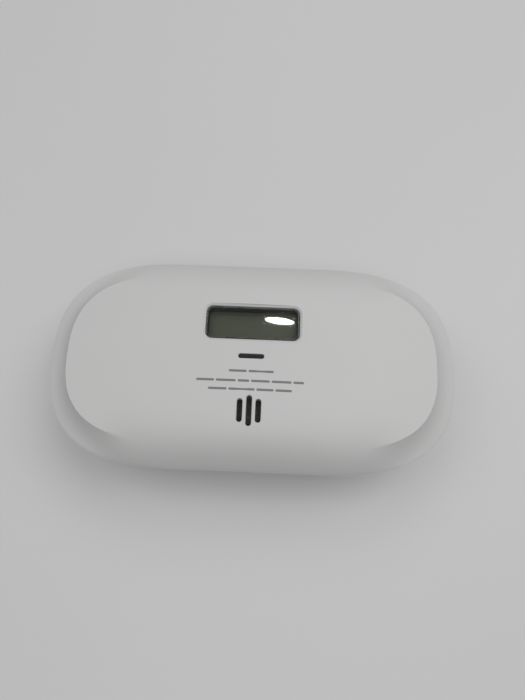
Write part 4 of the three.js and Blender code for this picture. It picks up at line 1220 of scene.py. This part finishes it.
@dataclass
class WallBracket:
    """The plate on the wall, with four hooks and two screw slots."""

    thickness: float = 2.7 * MM
    corner: float = 6.0 * MM
    edge: float = 0.35 * MM
    stem_root: float = 0.3 * MM
    stem_top: float = 0.5 * MM
    toe_height: float = 1.5 * MM
    toe_edge: float = 0.2 * MM
    screw_slot: Flat = (3.9 * MM, 9.0 * MM)
    screw_corner: float = 1.9 * MM
    screw_x: float = 9.0 * MM
    sink: Flat = (34.0 * MM, 3.0 * MM)
    sink_corner: float = 1.4 * MM
    sink_y: float = 15.5 * MM
    sink_depth: float = 0.5 * MM

    def build(self) -> None:
        """Models and dresses the bracket."""
        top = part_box("wall_bracket")[1].z
        size = size_of("wall_bracket")
        bracket = plate("bracket_plate", size, self.corner, 0.0, self.thickness, (0.0, 0.0), self.edge)
        root = self.thickness - self.stem_root
        stems = [Bench.block("stem", at, HOOKS.stem, root, top - self.stem_top) for at in HOOKS.places()]
        Bench.cut(bracket, stems, join=True)
        toes = [Bench.block("toe", at, HOOKS.toe, top - self.toe_height, top) for at in HOOKS.places()]
        for toe in toes:
            Bench.bevel(toe, self.toe_edge, 2)
        Bench.cut(bracket, toes, join=True)
        through = self.thickness + MM
        screw_slots = [
            plate("screw_slot", self.screw_slot, self.screw_corner, -MM, through, (x, 0.0))
            for x in (-self.screw_x, self.screw_x)
        ]
        sinks = [
            plate("sink", self.sink, self.sink_corner, -MM, self.sink_depth, (0.0, y), 0.1 * MM)
            for y in (-self.sink_y, self.sink_y)
        ]
        Bench.cut(bracket, [*screw_slots, *sinks])
        Bench.smooth(bracket)
        Bench.finish(bracket, WHITE_REAR.material(), "bracket", "white_housing", "wall_bracket")


@dataclass
class TestButton:
    """The long pill that is pressed to test the alarm, its face in line with the slope of the side wall."""

    surface: Surface
    size: Flat = (25.0 * MM, 5.4 * MM)
    corner: float = 2.68 * MM
    proud: float = 0.5 * MM
    flange: float = 0.8 * MM
    flange_depth: float = 1.6 * MM
    edge: float = 0.45 * MM

    def build(self) -> None:
        """Models and dresses the button."""
        inner_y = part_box("test_button")[0].y
        z = middle_of("test_switch_plunger")[2]
        surface = self.surface

        def ring(growth: float, back_off: float) -> list[Point]:
            """The pill's outline on the slope of the wall, moved in along Y."""
            points = rounded(grown_by(self.size, 2 * growth), self.corner + growth, (0.0, z), arc=14)
            face = surface.half_height + self.proud - back_off
            return [(u, face - surface.side_inset(w), w) for u, w in points]

        def step_ring(growth: float, y: float) -> list[Point]:
            """The pill's outline, grown, in a plane across Y."""
            return [(x, y, w) for x, _, w in ring(growth, 0.0)]

        rings = [ring(-self.edge * left, self.edge * turned) for left, turned in quarter(6)]
        front = inner_y + self.flange_depth
        rings += [step_ring(0.0, front), step_ring(self.flange, front), step_ring(self.flange, inner_y)]
        button = Bench.capped("button_cap", rings)
        Bench.smooth(button)
        Bench.finish(button, WHITE_REAR.material(), "button", "white_housing", "test_button")


# ---------------------------------------------------------------- display, light and sound


@dataclass
class Display:
    """The window: a clear lens, the black bezel under it and the blank cell behind them."""

    corner: float = 2.0 * MM
    border: float = 0.5 * MM
    root: float = 0.3 * MM  # how far into its flange the bezel reaches
    bezel_edge: float = 0.15 * MM
    flange_corner: float = 2.3 * MM
    flange: float = 1.2 * MM
    lens_edge: float = 0.18 * MM
    cell_corner: float = 0.3 * MM
    film: float = 0.3 * MM
    film_margin: float = 1.2 * MM

    def build(self) -> None:
        """Models and dresses the three visible pieces."""
        self._bezel()
        self._lens()
        self._cell()

    def _bezel(self) -> None:
        """The black frame under the lens, with its flange behind the wall."""
        low, high = (corner.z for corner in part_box("display_bezel"))
        at = middle_of("display_lens")[:2]
        size = size_of("display_lens")
        outer = size_of("display_bezel")
        bezel = plate("window_bezel", size, self.corner, low + self.root, high, at, self.bezel_edge)
        flange = plate("flange", outer, self.flange_corner, low, low + self.flange, at, 0.1 * MM)
        Bench.cut(bezel, [flange], join=True)
        inner = grown_by(size, -2 * self.border)
        Bench.cut(bezel, [plate("sight", inner, self.corner - self.border, low - MM, high + MM, at)])
        Bench.smooth(bezel)
        Bench.finish(bezel, BLACK.material(), "housing", "black_plastic", "display_bezel")

    def _lens(self) -> None:
        """The clear lens, with a polished rounded edge."""
        low, high = (corner.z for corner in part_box("display_lens"))
        at = middle_of("display_lens")[:2]
        lens = plate("window_lens", size_of("display_lens"), self.corner, low, high, at, self.lens_edge)
        Bench.smooth(lens)
        Bench.finish(lens, LENS.material(), "housing", "clear_lens", "display_lens")

    def _cell(self) -> None:
        """The liquid-crystal cell: its glass, and the polariser on it."""
        low, high = (corner.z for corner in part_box("display_glass"))
        at = middle_of("display_glass")[:2]
        size = size_of("display_glass")
        cell = plate("display_cell", size, self.cell_corner, low, high - self.film, at, 0.1 * MM)
        inner = grown_by(size, -self.film_margin)
        film = plate("polariser", inner, self.cell_corner, high - 2 * self.film, high, at)
        Bench.cut(cell, [film], join=True)
        Bench.smooth(cell)
        Bench.finish(cell, DISPLAY.material(), "housing", "display_cell", "display_glass")


@dataclass
class StatusLight:
    """The smoked bar over the three lamps."""

    blade: Flat = (7.6 * MM, 0.9 * MM)
    base_width: float = 2.4 * MM
    base_drop: float = 2.9 * MM
    corner: float = 0.4 * MM

    def build(self) -> None:
        """Models and dresses the bar."""
        low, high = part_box("status_light_guide")
        at = middle_of("status_light_guide")[:2]
        base = (high.x - low.x, self.base_width)
        bar = plate("light_bar", self.blade, self.corner, low.z, high.z, at, 0.15 * MM)
        foot = plate("base", base, self.corner, low.z, high.z - self.base_drop, at, 0.1 * MM)
        Bench.cut(bar, [foot], join=True)
        Bench.smooth(bar)
        Bench.finish(bar, SMOKED.material(), "housing", "light_guide", "status_light_guide")


@dataclass
class SoundScreen:
    """The woven screen behind the sound slots, in its pressed ring."""

    pitch: float = 0.46 * MM
    wire: float = 0.28 * MM

    def build(self) -> None:
        """Models and dresses the screen."""
        low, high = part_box("sound_slot_mesh")
        middle = middle_of("sound_slot_mesh")
        at = middle[:2]
        radius = (high.x - low.x) / 2
        half = radius * math.sqrt(0.5)
        count = round(2 * half / self.pitch)
        Bench.clear()
        bpy.ops.mesh.primitive_grid_add(
            x_subdivisions=count, y_subdivisions=count, size=2 * half, location=middle
        )
        weave = Bench.settle("slot_screen")
        modifier = weave.modifiers.new("wires", "WIREFRAME")
        modifier.thickness = self.wire
        modifier.use_boundary = True
        bpy.ops.object.modifier_apply(modifier=modifier.name)
        ring = Bench.drum("ring", radius, low.z, high.z, at, 64)
        Bench.cut(ring, [Bench.block("hole", (0.0, at[1]), (half, half), low.z - MM, high.z + MM)])
        screen = Bench.combine([weave, ring], "slot_screen")
        Bench.smooth(screen)
        Bench.finish(screen, RUBBER.material(), "housing", "contact_rubber", "sound_slot_mesh")


# ---------------------------------------------------------------- fixings and battery


@dataclass
class CaseScrews:
    """The four pan-head screws in their wells, modelled once and copied."""

    head: float = 2.3 * MM
    shank: float = 1.2 * MM
    head_height: float = 1.7 * MM
    tip: float = 1.2 * MM
    cross: Flat = (1.25 * MM, 0.28 * MM)
    cross_depth: float = 1.0 * MM
    first_turn: float = 23.0
    next_turn: float = 51.0

    def _pattern(self) -> bpy.types.Object:
        """One screw at the origin, its head towards -Z."""
        low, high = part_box("case_screw_1")
        length = high.z - low.z
        head, shank = self.head, self.shank
        profile = [(0.0, 0.0), (head * 0.5, 0.0), (head * 0.8, 0.12 * MM), (head * 0.96, 0.5 * MM)]
        profile += [(head, 0.9 * MM), (head, self.head_height), (shank, self.head_height)]
        profile += [(shank, length - self.tip), (shank * 0.4, length), (0.0, length)]
        rings = [[(u, v, z) for u, v in circle(radius, 40)] for radius, z in profile]
        screw = Bench.sheet("screw", rings)
        for arm in (self.cross, self.cross[::-1]):
            Bench.cut(screw, [Bench.block("arm", (0.0, 0.0), arm, -MM, self.cross_depth)])
        Bench.smooth(screw, 35.0)
        return screw

    def build(self) -> None:
        """Copies the screw into each well."""
        pattern = self._pattern()
        finish = METAL.material()
        for index in range(1, 5):
            node = f"case_screw_{index}"
            x, y, _ = middle_of(node)
            place = Matrix.Translation((x, y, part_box(node)[0].z))
            copy = pattern.copy()
            copy.data = pattern.data.copy()
            copy.name = f"cover_screw_{index}"
            copy.data.name = copy.name
            bpy.context.scene.collection.objects.link(copy)
            turn = math.radians(self.first_turn + self.next_turn * index)
            copy.data.transform(place @ Matrix.Rotation(turn, 4, "Z"))
            Bench.finish(copy, finish, "housing", "plated_metal", node)
        bpy.data.objects.remove(pattern)


@dataclass
class Battery:
    """The sleeved cell, with its crimped ends."""

    cap: float = 1.5 * MM
    crimp: float = 0.3 * MM

    def build(self) -> None:
        """Models and dresses the cell."""
        low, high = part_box("battery")
        radius = (high.x - low.x) / 2
        x, z = (low.x + high.x) / 2, (low.z + high.z) / 2
        body = high.y - self.cap
        profile = [(0.0, low.y + 0.2 * MM), (radius * 0.75, low.y + 0.2 * MM), (radius * 0.78, low.y)]
        profile += [(radius - 0.5 * MM, low.y), (radius, low.y + 0.5 * MM), (radius, body - 0.7 * MM)]
        profile += [(radius - 0.6 * MM, body), (radius * 0.72, body), (radius * 0.7, body - self.crimp)]
        profile += [(3.2 * MM, body - self.crimp), (3.0 * MM, high.y - self.crimp)]
        profile += [(2.6 * MM, high.y), (0.0, high.y)]
        rings = [[(x + u, y, z + v) for u, v in circle(size, 72)] for size, y in profile]
        cell = Bench.sheet("sleeved_cell", rings)
        Bench.smooth(cell, 35.0)
        Bench.finish(cell, SLEEVE.material(), "housing", "cell_sleeve", "battery")


def dress_the_frame() -> None:
    """Gives every node of the frame the finish of its slot in the record."""
    made = {slot: finish.material() for slot, finish in FINISHES.items()}
    for part in frame["record"]["subparts"]:
        node = frame["nodes"][part["node"]]
        node.data.materials.clear()
        node.data.materials.append(made[part["material_slot"]])
    log.info("%d frame nodes dressed", len(frame["nodes"]))


# ---------------------------------------------------------------- the studio


@dataclass(frozen=True)
class Lamp:
    """A soft light aimed at the alarm: where it hangs, its size and its power in watts."""

    name: str
    at: Point
    size: Flat
    power: float
    shape: str = "RECTANGLE"

    def hang(self) -> None:
        """Adds the light to the scene."""
        data = bpy.data.lights.new(self.name, "AREA")
        data.shape = self.shape
        data.size, data.size_y = self.size
        data.energy = self.power
        light = bpy.data.objects.new(self.name, data)
        bpy.context.scene.collection.objects.link(light)
        light.location = self.at
        light.rotation_euler = (-Vector(self.at)).to_track_quat("-Z", "Y").to_euler()


@dataclass
class Studio:
    """A pale floor, soft light and the camera."""

    surface: Surface
    pitch: float = math.radians(14.8)
    roll: float = math.radians(2.4)
    camera_at: Point = (5.2 * MM, -38.8 * MM, 166.4 * MM)
    lens: float = 25.97
    sensor: float = 36.0
    nearest: float = 5.0 * MM
    floor_size: float = 12.0
    floor_drop: float = 0.2 * MM
    floor_shade: float = 0.64
    air: float = 0.17
    lamps: tuple[Lamp, ...] = (
        Lamp("right_window", (1.0, 0.55, 1.6), (1.2, 1.4), 12.2),
        Lamp("left_window", (-1.05, 0.4, 1.6), (1.2, 1.4), 6.4),
        Lamp("far_window", (0.1, 1.6, 1.5), (1.4, 0.7), 5.4),
        Lamp("ceiling", (0.15, -0.6, 1.8), (1.4, 1.1), 8.6),
        Lamp("lamp_in_the_lens", (0.041, 0.493, 1.5), (0.098, 0.02), 0.12, "ELLIPSE"),
    )

    def build(self) -> None:
        """Builds the camera, the floor and the lights."""
        self._camera()
        self._floor()
        for lamp in self.lamps:
            lamp.hang()
        world = bpy.data.worlds.new("studio_air")
        world.use_nodes = True
        background = world.node_tree.nodes["Background"]
        background.inputs["Color"].default_value = (1.0, 1.0, 1.0, 1.0)
        background.inputs["Strength"].default_value = self.air
        bpy.context.scene.world = world
        bpy.context.scene.view_settings.view_transform = "Standard"

    def _camera(self) -> None:
        """The camera, above the face and a little below its middle."""
        data = bpy.data.cameras.new("camera")
        data.lens = self.lens
        data.sensor_width = self.sensor
        data.clip_start = self.nearest
        camera = bpy.data.objects.new("camera", data)
        bpy.context.scene.collection.objects.link(camera)
        turn = Matrix.Rotation(self.roll, 4, "Z") @ Matrix.Rotation(self.pitch, 4, "X")
        x, y, z = self.camera_at
        camera.matrix_world = Matrix.Translation((x, y, self.surface.rim + z)) @ turn
        bpy.context.scene.camera = camera

    def _floor(self) -> None:
        """The pale floor that the alarm lies on."""
        Bench.clear()
        bpy.ops.mesh.primitive_plane_add(size=self.floor_size, location=(0.0, 0.0, -self.floor_drop))
        floor = bpy.context.active_object
        floor.name = "floor"
        shader = Shader("pale_floor")
        cloud = shader.noise(3.0, 3.0)
        shade = self.floor_shade
        darker = (shade * 0.98, shade * 0.98, shade * 0.985)
        shader.set(Base_Color=shader.mix(cloud, (shade, shade, shade), darker), Roughness=0.5)
        floor.data.materials.append(shader.material)


def main() -> None:
    """Builds the alarm's looks in order."""
    surface = Surface()
    Studio(surface).build()
    dress_the_frame()
    FrontCover(surface).build()
    RearHousing(surface).build()
    BatteryDoor(surface).build()
    WallBracket().build()
    TestButton(surface).build()
    Display().build()
    StatusLight().build()
    SoundScreen().build()
    CaseScrews().build()
    Battery().build()


if __name__ == "__main__":
    main()
